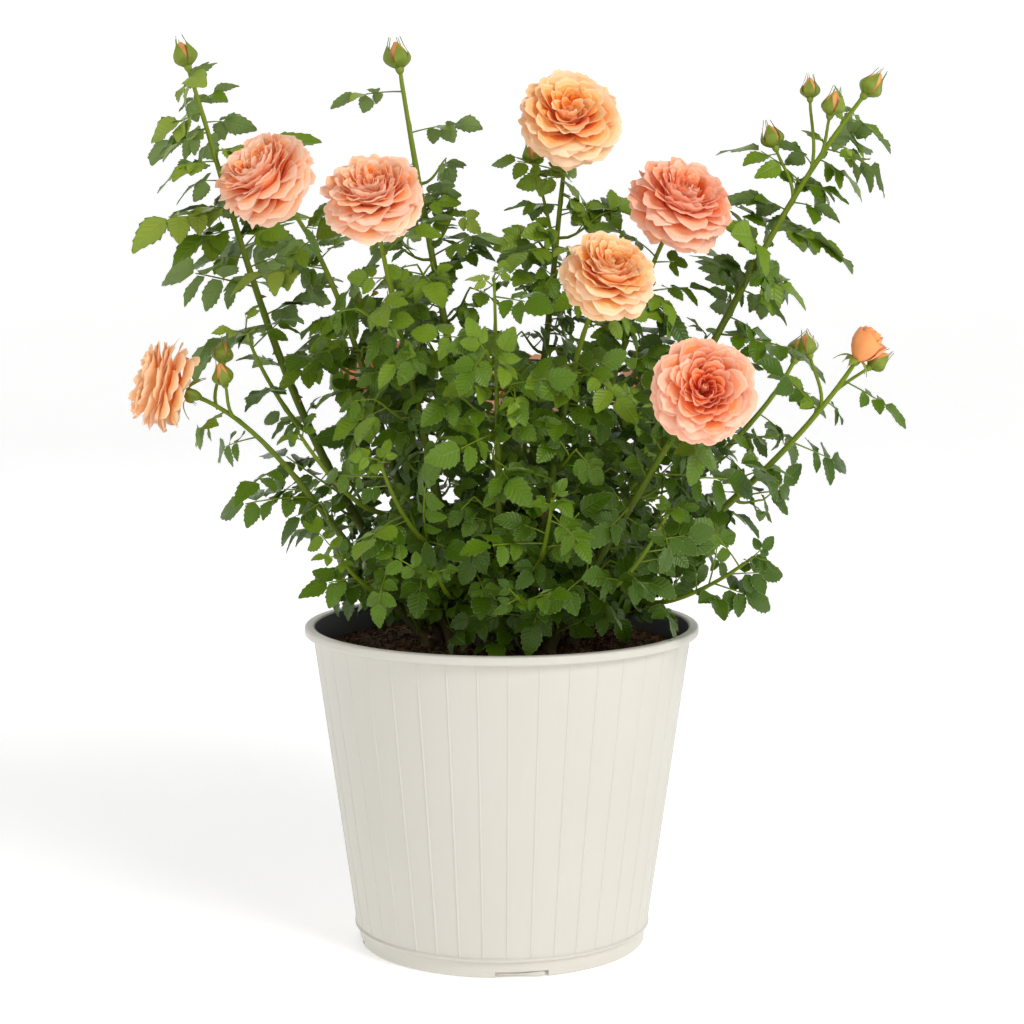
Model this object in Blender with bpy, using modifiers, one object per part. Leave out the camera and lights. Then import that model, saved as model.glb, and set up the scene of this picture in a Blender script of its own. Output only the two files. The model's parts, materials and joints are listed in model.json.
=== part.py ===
"""A rose bush in its grower's pot: the turned pot, its fill of potting soil, the short crown, the canes that
fan out of it, and the leafy shoots, flowers and buds that the canes carry.

Metres, +Z up. The origin is the middle of the pot's flat underside, and the flowers' best side faces -Y.
A cane is bare up to the place where its leafy shoot takes over. Shoots grow on from the canes' ends or out
of their sides, and every shoot is one solid: a stem, compound leaves on a 144 degree spiral, and a flower or
buds at its tip. Bearings are degrees from +X towards +Y, and elevations are degrees above level."""

import math
import random

import bmesh
import bpy
from mathutils import Matrix, Vector
from mathutils.bvhtree import BVHTree

TOUCH = 0.0003  # gap kept between two pieces that touch
UP = Vector((0, 0, 1))

# Pot
POT_HEIGHT = 0.204
RIM_RADIUS = 0.125
LIP_WIDTH = 0.0046  # how far the rolled lip stands out from the wall
LIP_DEPTH = 0.0056
LIP_ROUND = 0.0014
WALL = 0.0018
WALL_TOP_RADIUS = RIM_RADIUS - LIP_WIDTH
WALL_FOOT_RADIUS = 0.0932
LEDGE_HEIGHT = 0.0104  # where the wall steps in to the foot
BEAD = 0.0012
FOOT_RADIUS = 0.0915
FLOOR = 0.0062
POT_SIDES = 40
DRAIN_SLOTS = 4
FIRST_SLOT = -82  # bearing of the slot beside the front, degrees
SLOT_SIZE = (0.033, 0.009, 0.0076)  # along the foot, into it, up; half its height is below the pot

# Soil
SOIL_CROWN = 0.190  # height of the flat middle that the canes stand in
SOIL_EDGE = 0.184
SOIL_FLAT = 0.056

# Crown: the short stem that the oldest canes fork from
CROWN_HEIGHT = 0.018
CROWN_TOP = 0.0135
CROWN_FLARE = 0.0050
CROWN_SIDES = 10

# Limbs
CANE_FOOT = 0.0036
CANE_TIP = 0.0025
SHOOT_FOOT = 0.0019
SHOOT_TIP = 0.0014
CANE_SIDES = 6
SHOOT_SIDES = 3
CANE_STEPS = 4
SHOOT_STEPS = 4
COLLAR = 0.004  # length that stays straight at a joint between two limbs
FOOT_PULL = 0.38  # how far each end's direction carries, as a share of the straight distance
TIP_PULL = 0.28

# Leaves
TURN = 144  # degrees round the stem from one leaf to the next
LEAF_STEP = 0.026
LEAF_LENGTH = 0.041  # one leaflet
LEAF_WIDTH = 0.031
LEAF_THICKNESS = 0.0009
LEAF_FOLD = 0.0035
LEAF_WIDEST = 0.42
STALK_LENGTH = 0.045
STALK_RADIUS = 0.0011
PAIR_PLACE = 0.60  # where the two side leaflets leave the stalk
PAIR_ANGLE = 62
LEAFLET_DROOP = 12
STALK_ROOT = 0.0004  # how far a stalk reaches past the stem's middle
END_ROOT = 0.0030  # how far the end leaflet is sunk into the stalk
SIDE_ROOT = 0.0002  # how far a side leaflet reaches past the stalk's middle
LEAF_RISE = 28  # degrees from square to the stem
LEAF_DROOP = 0.40
LIGHT_LEAN = 1.0  # how far outward, beside up, the faces turn to the light
LIGHT_SIDE = Vector((0, -0.5, 0))  # and how far towards the side it came from
SMALLEST = 0.60  # the top leaf beside the lowest
SIZE_RANGE = (0.92, 1.05)
ROLL = 30  # degrees a leaf may lie turned about its stalk
FIRST_LEAF = 0.020  # lowest leaf, above the foot of its stem
BELOW_FLOWER = 0.026  # highest leaf, below the end of its stem
BELOW_TIP = 0.012
CLEARANCE = 0.0007
SPACE_SLACK = 0.018  # how much nearer than its own stem a leaf may come to another shoot's
FAN_FOOT = 0.12  # how far out a leaf's tip may lie at the height of the rim
FAN_SPREAD = 1.2  # and how much farther for each metre above it
TRIES = ((0, 0), (24, 10), (-24, -8), (48, -14), (-48, 16), (70, 0), (-70, 4))  # turn and lift, degrees

# Flowers and buds
HEAD_RADIUS = 0.031
HEAD_SEAT = 0.4  # how far below a flower's middle its stem ends, as a share of its depth
HEAD_DEPTH = 0.038
HEAD_SEGMENTS = 12
HEAD_RINGS = 6
PETAL_WAVE = 0.07
BUD_LENGTH = 0.023
BUD_RADIUS = 0.0062
BUD_STALK = 0.0012
BUD_SINK = 0.001

# name: foot (x, y), middle of the flower or tip (x, y, z), bearing and elevation of the tip,
# elevation at the foot, share that is bare, what it ends in
CANES = {
    "left_tall": ((-0.040, 0.016), (-0.199, 0.040, 0.553), (168, 72), 48, 0.46, "bud"),
    "left_flower": ((-0.031, -0.012), (-0.144, -0.032, 0.484), (225, 42), 68, 0.40, "flower"),
    "left_low": ((-0.047, -0.006), (-0.209, -0.030, 0.357), (186, 18), 46, 0.34, "flower"),
    "centre_tall": ((-0.006, 0.007), (-0.065, 0.050, 0.552), (150, 80), 80, 0.45, "bud"),
    "front_flower": ((-0.022, -0.027), (-0.075, -0.090, 0.471), (262, 50), 78, 0.36, "flower"),
    "top_flower": ((0.006, 0.005), (0.042, -0.020, 0.519), (275, 40), 80, 0.43, "flower"),
    "front_leaves": ((0.000, -0.037), (-0.004, -0.105, 0.425), (262, 78), 70, 0.30, "leaf"),
    "front_right": ((0.014, -0.030), (0.062, -0.120, 0.426), (296, 45), 70, 0.42, "flower"),
    "front_low": ((0.030, -0.034), (0.115, -0.150, 0.362), (272, 14), 55, 0.42, "flower"),
    "right_flower": ((0.026, 0.004), (0.110, -0.030, 0.468), (300, 48), 75, 0.40, "flower"),
    "right_tall": ((0.036, 0.016), (0.228, 0.030, 0.535), (5, 52), 60, 0.44, "bud"),
    "right_low": ((0.044, -0.010), (0.217, -0.030, 0.370), (350, 58), 42, 0.38, "bud"),
    "right_back": ((0.036, 0.034), (0.192, 0.075, 0.365), (25, 60), 55, 0.38, "bud"),
    "back_left": ((-0.018, 0.040), (-0.084, 0.148, 0.350), (114, 30), 68, 0.42, "flower"),
    "back_centre": ((0.002, 0.046), (0.016, 0.186, 0.338), (86, 24), 60, 0.42, "flower"),
    "back_right": ((0.022, 0.040), (0.106, 0.152, 0.334), (50, 28), 58, 0.42, "flower"),
}

# side shoots: cane, place as a share of its length, bearing, elevation, length
SIDE_SHOOTS = (
    ("left_tall", 0.40, 230, 50, 0.085),
    ("left_tall", 0.26, 120, 40, 0.085),
    ("left_flower", 0.30, 215, 35, 0.090),
    ("left_low", 0.20, 250, 25, 0.075),
    ("centre_tall", 0.39, 190, 50, 0.085),
    ("centre_tall", 0.27, 100, 45, 0.085),
    ("front_flower", 0.26, 235, 40, 0.085),
    ("top_flower", 0.37, 30, 50, 0.090),
    ("top_flower", 0.24, 270, 55, 0.080),
    ("front_right", 0.28, 275, 30, 0.085),
    ("front_low", 0.28, 310, 35, 0.085),
    ("right_flower", 0.34, 340, 45, 0.090),
    ("right_tall", 0.36, 60, 45, 0.095),
    ("right_low", 0.22, 320, 18, 0.095),
    ("right_back", 0.24, 40, 25, 0.090),
    ("back_left", 0.28, 160, 35, 0.095),
    ("back_centre", 0.24, 110, 30, 0.095),
    ("back_right", 0.26, 70, 30, 0.090),
    ("left_flower", 0.15, 245, 25, 0.065),
    ("front_flower", 0.14, 260, 20, 0.065),
    ("front_low", 0.16, 240, 15, 0.065),
    ("right_flower", 0.18, 350, 20, 0.075),
    ("back_left", 0.15, 130, 15, 0.075),
    ("back_right", 0.15, 45, 15, 0.075),
)

# side buds: shoot's cane: (distance below the tip, bearing, elevation, length of stalk)
SIDE_BUDS = {
    "right_tall": ((0.078, 150, 70, 0.034), (0.056, 100, 85, 0.044), (0.046, 300, 70, 0.026)),
    "right_low": ((0.034, 170, 78, 0.032), (0.024, 10, 35, 0.028)),
    "left_low": ((0.022, 80, 70, 0.028), (0.034, 250, 60, 0.024)),
    "top_flower": ((0.085, 200, 78, 0.060),),
    "back_left": ((0.050, 150, 65, 0.040),),
    "back_right": ((0.050, 20, 65, 0.040),),
}

CLAY_WHITE = (0.76, 0.73, 0.66)
PEAT = (0.045, 0.028, 0.018)
BARK = (0.16, 0.13, 0.06)
CANE_GREEN = (0.19, 0.26, 0.08)
LEAF_GREEN = (0.045, 0.13, 0.03)
PETAL_PEACH = (0.86, 0.42, 0.27)


def clear_scene():
    for item in list(bpy.data.objects):
        bpy.data.objects.remove(item)


def collection(name):
    made = bpy.data.collections.new(name)
    bpy.context.scene.collection.children.link(made)
    return made


clear_scene()
PLANT = collection("rose_bush")
HELPERS = collection("helpers")
JOINED = collection("joined")


def material(name, colour, roughness):
    made = bpy.data.materials.new(name)
    made.use_nodes = True
    shader = made.node_tree.nodes["Principled BSDF"]
    shader.inputs["Base Color"].default_value = (*colour, 1)
    shader.inputs["Roughness"].default_value = roughness
    shader.inputs["Metallic"].default_value = 0
    return made


POT_PLASTIC = material("pot_plastic", CLAY_WHITE, 0.42)
SOIL = material("soil", PEAT, 0.95)
CROWN_BARK = material("crown_bark", BARK, 0.8)
CANE_SKIN = material("cane_skin", CANE_GREEN, 0.5)
LEAF = material("leaf", LEAF_GREEN, 0.4)
PETAL = material("petal", PETAL_PEACH, 0.55)


def direction(bearing, elevation):
    b = math.radians(bearing)
    e = math.radians(elevation)
    return Vector((math.cos(b) * math.cos(e), math.sin(b) * math.cos(e), math.sin(e)))


def square_to(vector, axis):
    """The unit vector nearest to the given one that is square to the axis."""
    return (vector - axis * vector.dot(axis)).normalized()


def frame_at(point, along, up):
    """A matrix whose X runs along, whose Z is as near up as that allows, and whose origin is the point."""
    z = square_to(up, along)
    y = z.cross(along)
    return Matrix.Translation(point) @ Matrix((along, y, z)).transposed().to_4x4()


class Route:
    """A line through points, read by the distance along it."""

    def __init__(self, points):
        self.points = points
        self.marks = [0.0]
        for a, b in zip(points, points[1:]):
            self.marks.append(self.marks[-1] + (b - a).length)
        self.length = self.marks[-1]

    def step_at(self, distance):
        for index in range(1, len(self.marks) - 1):
            if distance < self.marks[index]:
                return index
        return len(self.marks) - 1

    def at(self, distance):
        index = self.step_at(distance)
        start = self.marks[index - 1]
        share = (distance - start) / (self.marks[index] - start)
        return self.points[index - 1].lerp(self.points[index], share)

    def heading(self, distance):
        index = self.step_at(distance)
        return (self.points[index] - self.points[index - 1]).normalized()

    def stretch(self, start, end, steps):
        """Points from one distance to another, straight for a collar's length where it starts and ends."""
        inner = [start + (end - start) * i / steps for i in range(1, steps)]
        first = self.at(start)
        last = self.at(end)
        collars = (first + self.heading(start) * COLLAR, last - self.heading(end) * COLLAR)
        return [first, collars[0], *(self.at(d) for d in inner), collars[1], last]


def bent(start, start_heading, end, end_heading, samples=32):
    """A cubic curve between two points, along a heading at each."""
    reach = (end - start).length
    first = start + start_heading * reach * FOOT_PULL
    second = end - end_heading * reach * TIP_PULL
    points = []
    for i in range(samples + 1):
        t = i / samples
        s = 1 - t
        points.append(start * s**3 + first * 3 * s * s * t + second * 3 * s * t * t + end * t**3)
    return points


def cane_route(name):
    (x, y), tip, facing, foot_elevation, _, ends = CANES[name]
    on_crown = math.hypot(x, y) < CROWN_TOP
    foot = Vector((x, y, SOIL_CROWN + TOUCH + (CROWN_HEIGHT + TOUCH if on_crown else 0)))
    tip_heading = direction(*facing)
    end = Vector(tip)
    if ends == "flower":
        end -= tip_heading * HEAD_DEPTH * HEAD_SEAT
    start = foot + UP * COLLAR
    across = end - start
    start_heading = direction(math.degrees(math.atan2(across.y, across.x)), foot_elevation)
    return Route([foot, *bent(start, start_heading, end, tip_heading)])


def cane_radius(name, distance):
    share = distance / (ROUTES[name].length * CANES[name][4])
    return CANE_FOOT + (CANE_TIP - CANE_FOOT) * share


def side_route(cane, place, bearing, elevation, length):
    """A side shoot leaves square to its cane, just clear of the skin, and bends up to its own direction."""
    route = ROUTES[cane]
    distance = place * route.length
    axis = route.heading(distance)
    out = square_to(direction(bearing, elevation), axis)
    foot = route.at(distance) + out * (cane_radius(cane, distance) + TOUCH)
    start = foot + out * COLLAR
    end = foot + direction(bearing, elevation) * length
    return Route([foot, *bent(start, out, end, direction(bearing, min(80, elevation + 20)))])


ROUTES = {name: cane_route(name) for name in CANES}


def new_object(name, mesh, finish, home=PLANT):
    made = bpy.data.objects.new(name, mesh)
    home.objects.link(made)
    mesh.materials.clear()
    mesh.materials.append(finish)
    return made


def section(sides):
    """The polygon that a limb's section is scaled from, one unit from its middle to a corner."""
    curve = bpy.data.curves.new(f"section_{sides}", "CURVE")
    spline = curve.splines.new("POLY")
    spline.points.add(sides - 1)
    spline.use_cyclic_u = True
    for i, point in enumerate(spline.points):
        angle = 2 * math.pi * i / sides
        point.co = (math.cos(angle), math.sin(angle), 0, 1)
    made = bpy.data.objects.new(f"section_{sides}", curve)
    HELPERS.objects.link(made)
    made.hide_render = True
    made.display_type = "WIRE"
    return made


SECTIONS = {sides: section(sides) for sides in (CANE_SIDES, SHOOT_SIDES)}


def evaluated_mesh(item):
    """The mesh of an object with its modifiers or bevel applied."""
    bpy.context.view_layer.update()
    return bpy.data.meshes.new_from_object(item.evaluated_get(bpy.context.evaluated_depsgraph_get()))


def weld(mesh):
    """Joins a tube's loose caps to its wall and turns its faces outward."""
    bm = bmesh.new()
    bm.from_mesh(mesh)
    bmesh.ops.remove_doubles(bm, verts=bm.verts, dist=1e-6)
    bmesh.ops.recalc_face_normals(bm, faces=bm.faces)
    bm.to_mesh(mesh)
    bm.free()


def limb(name, points, radius_at, sides, finish, home=PLANT):
    """A tapering tube through the points; radius_at gives its radius from 0 at the foot to 1 at the tip."""
    curve = bpy.data.curves.new(name, "CURVE")
    curve.dimensions = "3D"
    curve.bevel_mode = "OBJECT"
    curve.bevel_object = SECTIONS[sides]
    curve.use_fill_caps = True
    spline = curve.splines.new("POLY")
    spline.points.add(len(points) - 1)
    for i, (point, place) in enumerate(zip(spline.points, points)):
        point.co = (*place, 1)
        point.radius = radius_at(i / (len(points) - 1))
    drawn = bpy.data.objects.new(f"{name}_line", curve)
    HELPERS.objects.link(drawn)
    mesh = evaluated_mesh(drawn)
    weld(mesh)
    bpy.data.objects.remove(drawn)
    return new_object(name, mesh, finish, home)


def taper(start, end):
    return lambda share: start + (end - start) * share


def turned(name, profile, sides, finish):
    """A solid turned from its profile of (radius, height), which starts and ends on the axis."""
    mesh = bpy.data.meshes.new(name)
    edges = [(i, i + 1) for i in range(len(profile) - 1)]
    mesh.from_pydata([(r, 0, z) for r, z in profile], edges, [])
    made = new_object(name, mesh, finish)
    screw = made.modifiers.new("turn", "SCREW")
    screw.steps = sides
    screw.render_steps = sides
    screw.use_merge_vertices = True
    screw.merge_threshold = 0.00001
    return made


def wall_radius(height):
    """The outer radius of the pot's wall, which is straight from the ledge to the lip."""
    span = POT_HEIGHT - LEDGE_HEIGHT
    return WALL_FOOT_RADIUS + (WALL_TOP_RADIUS - WALL_FOOT_RADIUS) * (height - LEDGE_HEIGHT) / span


def make_pot():
    lip_bottom = POT_HEIGHT - LIP_DEPTH
    wall_inside = wall_radius(POT_HEIGHT) - WALL
    foot_inside = FOOT_RADIUS - WALL
    profile = [
        (0, FLOOR),
        (foot_inside, FLOOR),
        (foot_inside, LEDGE_HEIGHT),
        (wall_inside, POT_HEIGHT - LIP_ROUND),
        (wall_inside + LIP_ROUND * 0.5, POT_HEIGHT),
        (RIM_RADIUS - LIP_ROUND, POT_HEIGHT),
        (RIM_RADIUS, POT_HEIGHT - LIP_ROUND),
        (RIM_RADIUS, lip_bottom + LIP_ROUND),
        (RIM_RADIUS - LIP_ROUND, lip_bottom),
        (wall_radius(lip_bottom), lip_bottom),
        (wall_radius(LEDGE_HEIGHT + 2 * BEAD), LEDGE_HEIGHT + 2 * BEAD),
        (WALL_FOOT_RADIUS + BEAD, LEDGE_HEIGHT + BEAD),
        (WALL_FOOT_RADIUS, LEDGE_HEIGHT),
        (FOOT_RADIUS, LEDGE_HEIGHT - BEAD),
        (FOOT_RADIUS, 0),
        (0, 0),
    ]
    pot = turned("pot", profile, POT_SIDES, POT_PLASTIC)
    for i in range(DRAIN_SLOTS):
        bearing = FIRST_SLOT + 360 * i / DRAIN_SLOTS
        bpy.ops.mesh.primitive_cube_add(size=1)
        slot = bpy.context.object
        slot.name = f"drain_slot_{i + 1}"
        slot.location = direction(bearing, 0) * FOOT_RADIUS
        slot.rotation_euler.z = math.radians(bearing + 90)
        slot.scale = SLOT_SIZE
        slot.hide_render = True
        slot.display_type = "WIRE"
        bpy.context.collection.objects.unlink(slot)
        HELPERS.objects.link(slot)
        cut = pot.modifiers.new(slot.name, "BOOLEAN")
        cut.object = slot


def make_soil():
    foot = FOOT_RADIUS - WALL - TOUCH
    side = wall_radius(SOIL_EDGE) - WALL - 2 * TOUCH
    profile = [
        (0, SOIL_CROWN),
        (SOIL_FLAT, SOIL_CROWN),
        (side, SOIL_EDGE),
        (foot, LEDGE_HEIGHT),
        (foot, FLOOR + TOUCH),
        (0, FLOOR + TOUCH),
    ]
    return turned("soil", profile, POT_SIDES, SOIL)


def make_crown():
    """A knobbly stub, flared at the soil and flat on top, where the oldest canes stand."""
    profile = [(0, CROWN_HEIGHT)]
    rings = 4
    for i in range(rings):
        share = i / (rings - 1)
        profile.append((CROWN_TOP + CROWN_FLARE * share**2, CROWN_HEIGHT * (1 - share)))
    profile.append((0, 0))
    crown = turned("crown", profile, CROWN_SIDES, CROWN_BARK)
    crown.location.z = SOIL_CROWN + TOUCH
    return crown


def make_cane(name):
    route = ROUTES[name]
    points = route.stretch(0, route.length * CANES[name][4], CANE_STEPS)
    return limb(f"{name}_cane", points, taper(CANE_FOOT, CANE_TIP), CANE_SIDES, CANE_SKIN)


def leaflet(place, length, width, root, margin):
    """A folded blade of eight faces that lies along the place's X, pointed at both ends."""
    bm = bmesh.new()
    made = bmesh.ops.create_uvsphere(bm, u_segments=4, v_segments=2, radius=1)
    for vertex in made["verts"]:
        x, y, z = vertex.co
        middle = 1 - abs(x)
        vertex.co = (
            (length + margin) * max(x, 0) - root * max(-x, 0) + LEAF_WIDEST * length * middle,
            y * (width / 2 + margin),
            z * (LEAF_THICKNESS / 2 + margin) + LEAF_FOLD * abs(y) - LEAF_FOLD * max(0, x),
        )
    bmesh.ops.transform(bm, matrix=place, verts=made["verts"])
    return bm


def leaf_pieces(place, size, margin=0.0):
    """The meshes of one compound leaf, in the world: its stalk, an end leaflet and two side leaflets."""
    stalk = STALK_LENGTH * size
    length = LEAF_LENGTH * size
    width = LEAF_WIDTH * size
    radius = (STALK_RADIUS + margin) * max(size, 0.8)
    bm = bmesh.new()
    made = bmesh.ops.create_cone(
        bm, cap_ends=True, segments=3, radius1=radius, radius2=radius * 0.9, depth=stalk + STALK_ROOT
    )
    lay = Matrix.Rotation(math.pi / 2, 4, "Y") @ Matrix.Rotation(math.pi / 2, 4, "Z")
    middle = Matrix.Translation(((stalk - STALK_ROOT) / 2, 0, 0))
    bmesh.ops.transform(bm, matrix=place @ middle @ lay, verts=made["verts"])
    droop = Matrix.Rotation(math.radians(LEAFLET_DROOP), 4, "Y")
    end = place @ Matrix.Translation((stalk, 0, 0)) @ droop
    pieces = [bm, leaflet(end, length, width, END_ROOT, margin)]
    for angle in (-PAIR_ANGLE, PAIR_ANGLE):
        turn = Matrix.Rotation(math.radians(angle), 4, "Z")
        side = place @ Matrix.Translation((stalk * PAIR_PLACE, 0, 0)) @ turn @ droop
        pieces.append(leaflet(side, length, width, SIDE_ROOT, margin))
    return pieces


def tree_of(pieces):
    vertices = []
    faces = []
    for bm in pieces:
        start = len(vertices)
        vertices.extend(v.co.copy() for v in bm.verts)
        faces.extend([start + v.index for v in face.verts] for face in bm.faces)
    return BVHTree.FromPolygons(vertices, faces), vertices


def free(pieces):
    for bm in pieces:
        bm.free()


def mesh_of(bm, name):
    mesh = bpy.data.meshes.new(name)
    bm.to_mesh(mesh)
    bm.free()
    return mesh


def head_mesh(middle, facing):
    """A full flower: a rosette, widest above its middle, waved round the rim and hollow at the heart."""
    rings = {90: (0, 0.30), 60: (0.42, 0.48), 30: (0.80, 0.40), 0: (1.0, 0.04), -30: (0.84, -0.32)}
    rings.update({-60: (0.42, -0.46), -90: (0, -0.50)})
    bm = bmesh.new()
    bmesh.ops.create_uvsphere(bm, u_segments=HEAD_SEGMENTS, v_segments=HEAD_RINGS, radius=1)
    for vertex in bm.verts:
        latitude = round(math.degrees(math.asin(max(-1, min(1, vertex.co.z)))))
        angle = math.atan2(vertex.co.y, vertex.co.x)
        radius, height = rings[latitude]
        wave = 1 + PETAL_WAVE * math.cos(6 * angle + math.pi * latitude / 30)
        lift = 0.05 * math.cos(3 * angle + 1) * radius
        vertex.co = (
            radius * HEAD_RADIUS * wave * math.cos(angle),
            radius * HEAD_RADIUS * wave * math.sin(angle),
            (height + lift) * HEAD_DEPTH,
        )
    turn = facing.to_track_quat("Z", "Y").to_matrix().to_4x4()
    bmesh.ops.transform(bm, matrix=Matrix.Translation(middle) @ turn, verts=bm.verts)
    return bm


def bud_mesh(foot, heading):
    """A closed bud: an egg on its calyx, drawn out to a point."""
    bm = bmesh.new()
    bmesh.ops.create_uvsphere(bm, u_segments=5, v_segments=3, radius=1)
    for vertex in bm.verts:
        x, y, z = vertex.co
        slim = 1 - 0.35 * max(0, z)
        vertex.co = (x * BUD_RADIUS * slim, y * BUD_RADIUS * slim, (z + 0.86) * BUD_LENGTH / 2)
    turn = heading.to_track_quat("Z", "Y").to_matrix().to_4x4()
    bmesh.ops.transform(bm, matrix=Matrix.Translation(foot) @ turn, verts=bm.verts)
    return bm


def bud_stalk(foot, heading, length):
    bm = bmesh.new()
    bmesh.ops.create_cone(
        bm, cap_ends=True, segments=3, radius1=BUD_STALK, radius2=BUD_STALK * 0.9, depth=length
    )
    turn = heading.to_track_quat("Z", "Y").to_matrix().to_4x4()
    middle = foot + heading * length / 2
    bmesh.ops.transform(bm, matrix=Matrix.Translation(middle) @ turn, verts=bm.verts)
    return bm


def plan_shoots():
    """Every shoot's name, and its route, first and last radius, ending and side buds."""
    shoots = {}
    for name, (_, _, _, _, bare, ends) in CANES.items():
        route = ROUTES[name]
        start = bare * route.length
        heading = route.heading(start)
        points = route.stretch(start, route.length, SHOOT_STEPS)
        points[0] = points[0] + heading * TOUCH
        buds = SIDE_BUDS.get(name, ())
        shoots[f"{name}_shoot"] = (Route(points), CANE_TIP, SHOOT_TIP, ends, buds)
    for i, row in enumerate(SIDE_SHOOTS):
        route = side_route(*row)
        points = route.stretch(0, route.length, SHOOT_STEPS)
        shoots[f"side_shoot_{i + 1:02d}"] = (Route(points), SHOOT_FOOT, SHOOT_TIP, "leaf", ())
    return shoots


def ending_pieces(route, ends, buds):
    """The flower and buds of a shoot, as meshes to join to its stem, each with its finish."""
    tip = route.points[-1]
    heading = route.heading(route.length)
    pieces = []
    if ends == "flower":
        pieces.append((head_mesh(tip + heading * HEAD_DEPTH * HEAD_SEAT, heading), PETAL))
    if ends == "bud":
        pieces.append((bud_mesh(tip - heading * BUD_SINK, heading), PETAL))
    for below, bearing, elevation, length in buds:
        foot = route.at(route.length - below)
        lean = direction(bearing, elevation)
        pieces.append((bud_stalk(foot, lean, length), CANE_SKIN))
        pieces.append((bud_mesh(foot + lean * (length - BUD_SINK), lean), PETAL))
    return pieces


def leaf_place(route, distance, turn, lift, roll):
    """Where a compound leaf leaves a stem: out on the given side, rising, with its face turned up."""
    point = route.at(distance)
    axis = route.heading(distance)
    side = square_to(direction(25, 3), axis)
    out = Matrix.Rotation(math.radians(turn), 3, axis) @ side
    rise = math.radians(LEAF_RISE + lift)
    along = out * math.cos(rise) + axis * math.sin(rise)
    along.z -= LEAF_DROOP
    along.normalize()
    light = UP + Vector((point.x, point.y, 0)).normalized() * LIGHT_LEAN + LIGHT_SIDE
    return frame_at(point, along, Matrix.Rotation(math.radians(roll), 3, along) @ light)


def nearest(point, route):
    """How far a point is from a route's line."""
    best = 1.0
    for a, b in zip(route.points, route.points[1:]):
        span = b - a
        share = max(0, min(1, (point - a).dot(span) / span.length_squared))
        best = min(best, (point - a - span * share).length)
    return best


def has_own_space(name, vertices, shoots):
    """Whether a leaf lies nearer to its own stem than to any other shoot's, but for the slack."""
    for vertex in vertices[:: max(1, len(vertices) // 8)]:
        own = nearest(vertex, shoots[name][0])
        for other, (route, *_) in shoots.items():
            if other != name and nearest(vertex, route) < own - SPACE_SLACK:
                return False
    return True


def in_fan(vertices):
    """Whether a leaf lies in the crown's fan, which is narrow at the rim and opens upward."""
    return all(math.hypot(v.x, v.y) < FAN_FOOT + (v.z - POT_HEIGHT) * FAN_SPREAD for v in vertices)


def grow_leaves(name, shoots, solids):
    """The pieces of a shoot's compound leaves. One that would hit a limb, a flower or another leaf takes
    another of its tries, and is skipped when none is free."""
    route, _, _, ends, _ = shoots[name]
    rng = random.Random(name)
    last = route.length - (BELOW_FLOWER if ends == "flower" else BELOW_TIP)
    count = max(1, round((last - FIRST_LEAF) / LEAF_STEP)) + 1
    turn = rng.uniform(0, 360)
    grown = []
    for i in range(count):
        share = i / (count - 1)
        size = (1 - (1 - SMALLEST) * share) * rng.uniform(*SIZE_RANGE)
        roll = rng.uniform(-ROLL, ROLL)
        distance = FIRST_LEAF + (last - FIRST_LEAF) * share
        turn += TURN
        for more_turn, more_lift in TRIES:
            place = leaf_place(route, distance, turn + more_turn, more_lift, roll)
            test = leaf_pieces(place, size, CLEARANCE)
            tree, vertices = tree_of(test)
            free(test)
            others = [solid for owner, solid in solids if owner != name]
            if any(tree.overlap(solid) for solid in others + grown):
                continue
            if min(v.z for v in vertices) < SOIL_CROWN or not in_fan(vertices):
                continue
            if not has_own_space(name, vertices, shoots):
                continue
            grown.append(tree)
            solids.append((f"{name}_leaf", tree))
            yield from ((piece, LEAF) for piece in leaf_pieces(place, size))
            break


def join(stem, pieces):
    """One solid from a stem and the pieces that are sunk into it or into each other."""
    for i, (bm, finish) in enumerate(pieces):
        new_object(f"piece_{i}", mesh_of(bm, f"piece_{i}"), finish, JOINED)
    union = stem.modifiers.new("join", "BOOLEAN")
    union.operation = "UNION"
    union.operand_type = "COLLECTION"
    union.collection = JOINED
    union.material_mode = "TRANSFER"
    mesh = evaluated_mesh(stem)
    stem.modifiers.clear()
    stem.data = mesh
    for item in list(JOINED.objects):
        bpy.data.objects.remove(item)


def main():
    make_pot()
    make_soil()
    make_crown()
    canes = [make_cane(name) for name in CANES]
    shoots = plan_shoots()
    stems = {}
    endings = {}
    for name, (route, start, end, ends, buds) in shoots.items():
        stems[name] = limb(name, route.points, taper(start, end), SHOOT_SIDES, LEAF)
        endings[name] = ending_pieces(route, ends, buds)
    bpy.context.view_layer.update()
    depsgraph = bpy.context.evaluated_depsgraph_get()
    standing = [PLANT.objects["pot"], PLANT.objects["soil"], *canes, *stems.values()]
    solids = [(item.name, BVHTree.FromObject(item, depsgraph)) for item in standing]
    for name, pieces in endings.items():
        if pieces:
            solids.append((name, tree_of([bm for bm, _ in pieces])[0]))
    for name, stem in stems.items():
        leaves = list(grow_leaves(name, shoots, solids))
        join(stem, endings[name] + leaves)


main()
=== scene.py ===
# %% [markdown]
# # A rose bush in its pot
#
# A bushy patio rose stands in a cream plastic pot: canes fan out of the soil, leafy shoots grow on from
# them, and full peach flowers and closed buds sit at the tips. The plain solids of the same bush already
# exist, and this lesson dresses them. The canes and leaves are grown again by the rule that the solids
# follow, so that every leaf lies where its solid lies, and then the rule goes on to twigs and leaves too
# fine for a solid. All sizes are metres, Z is up, and the origin is the middle of the pot's underside.

# %% Load the solids
import json
import math
import random

import bmesh
import bpy
from mathutils import Matrix, Vector, noise
from mathutils.kdtree import KDTree

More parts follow.
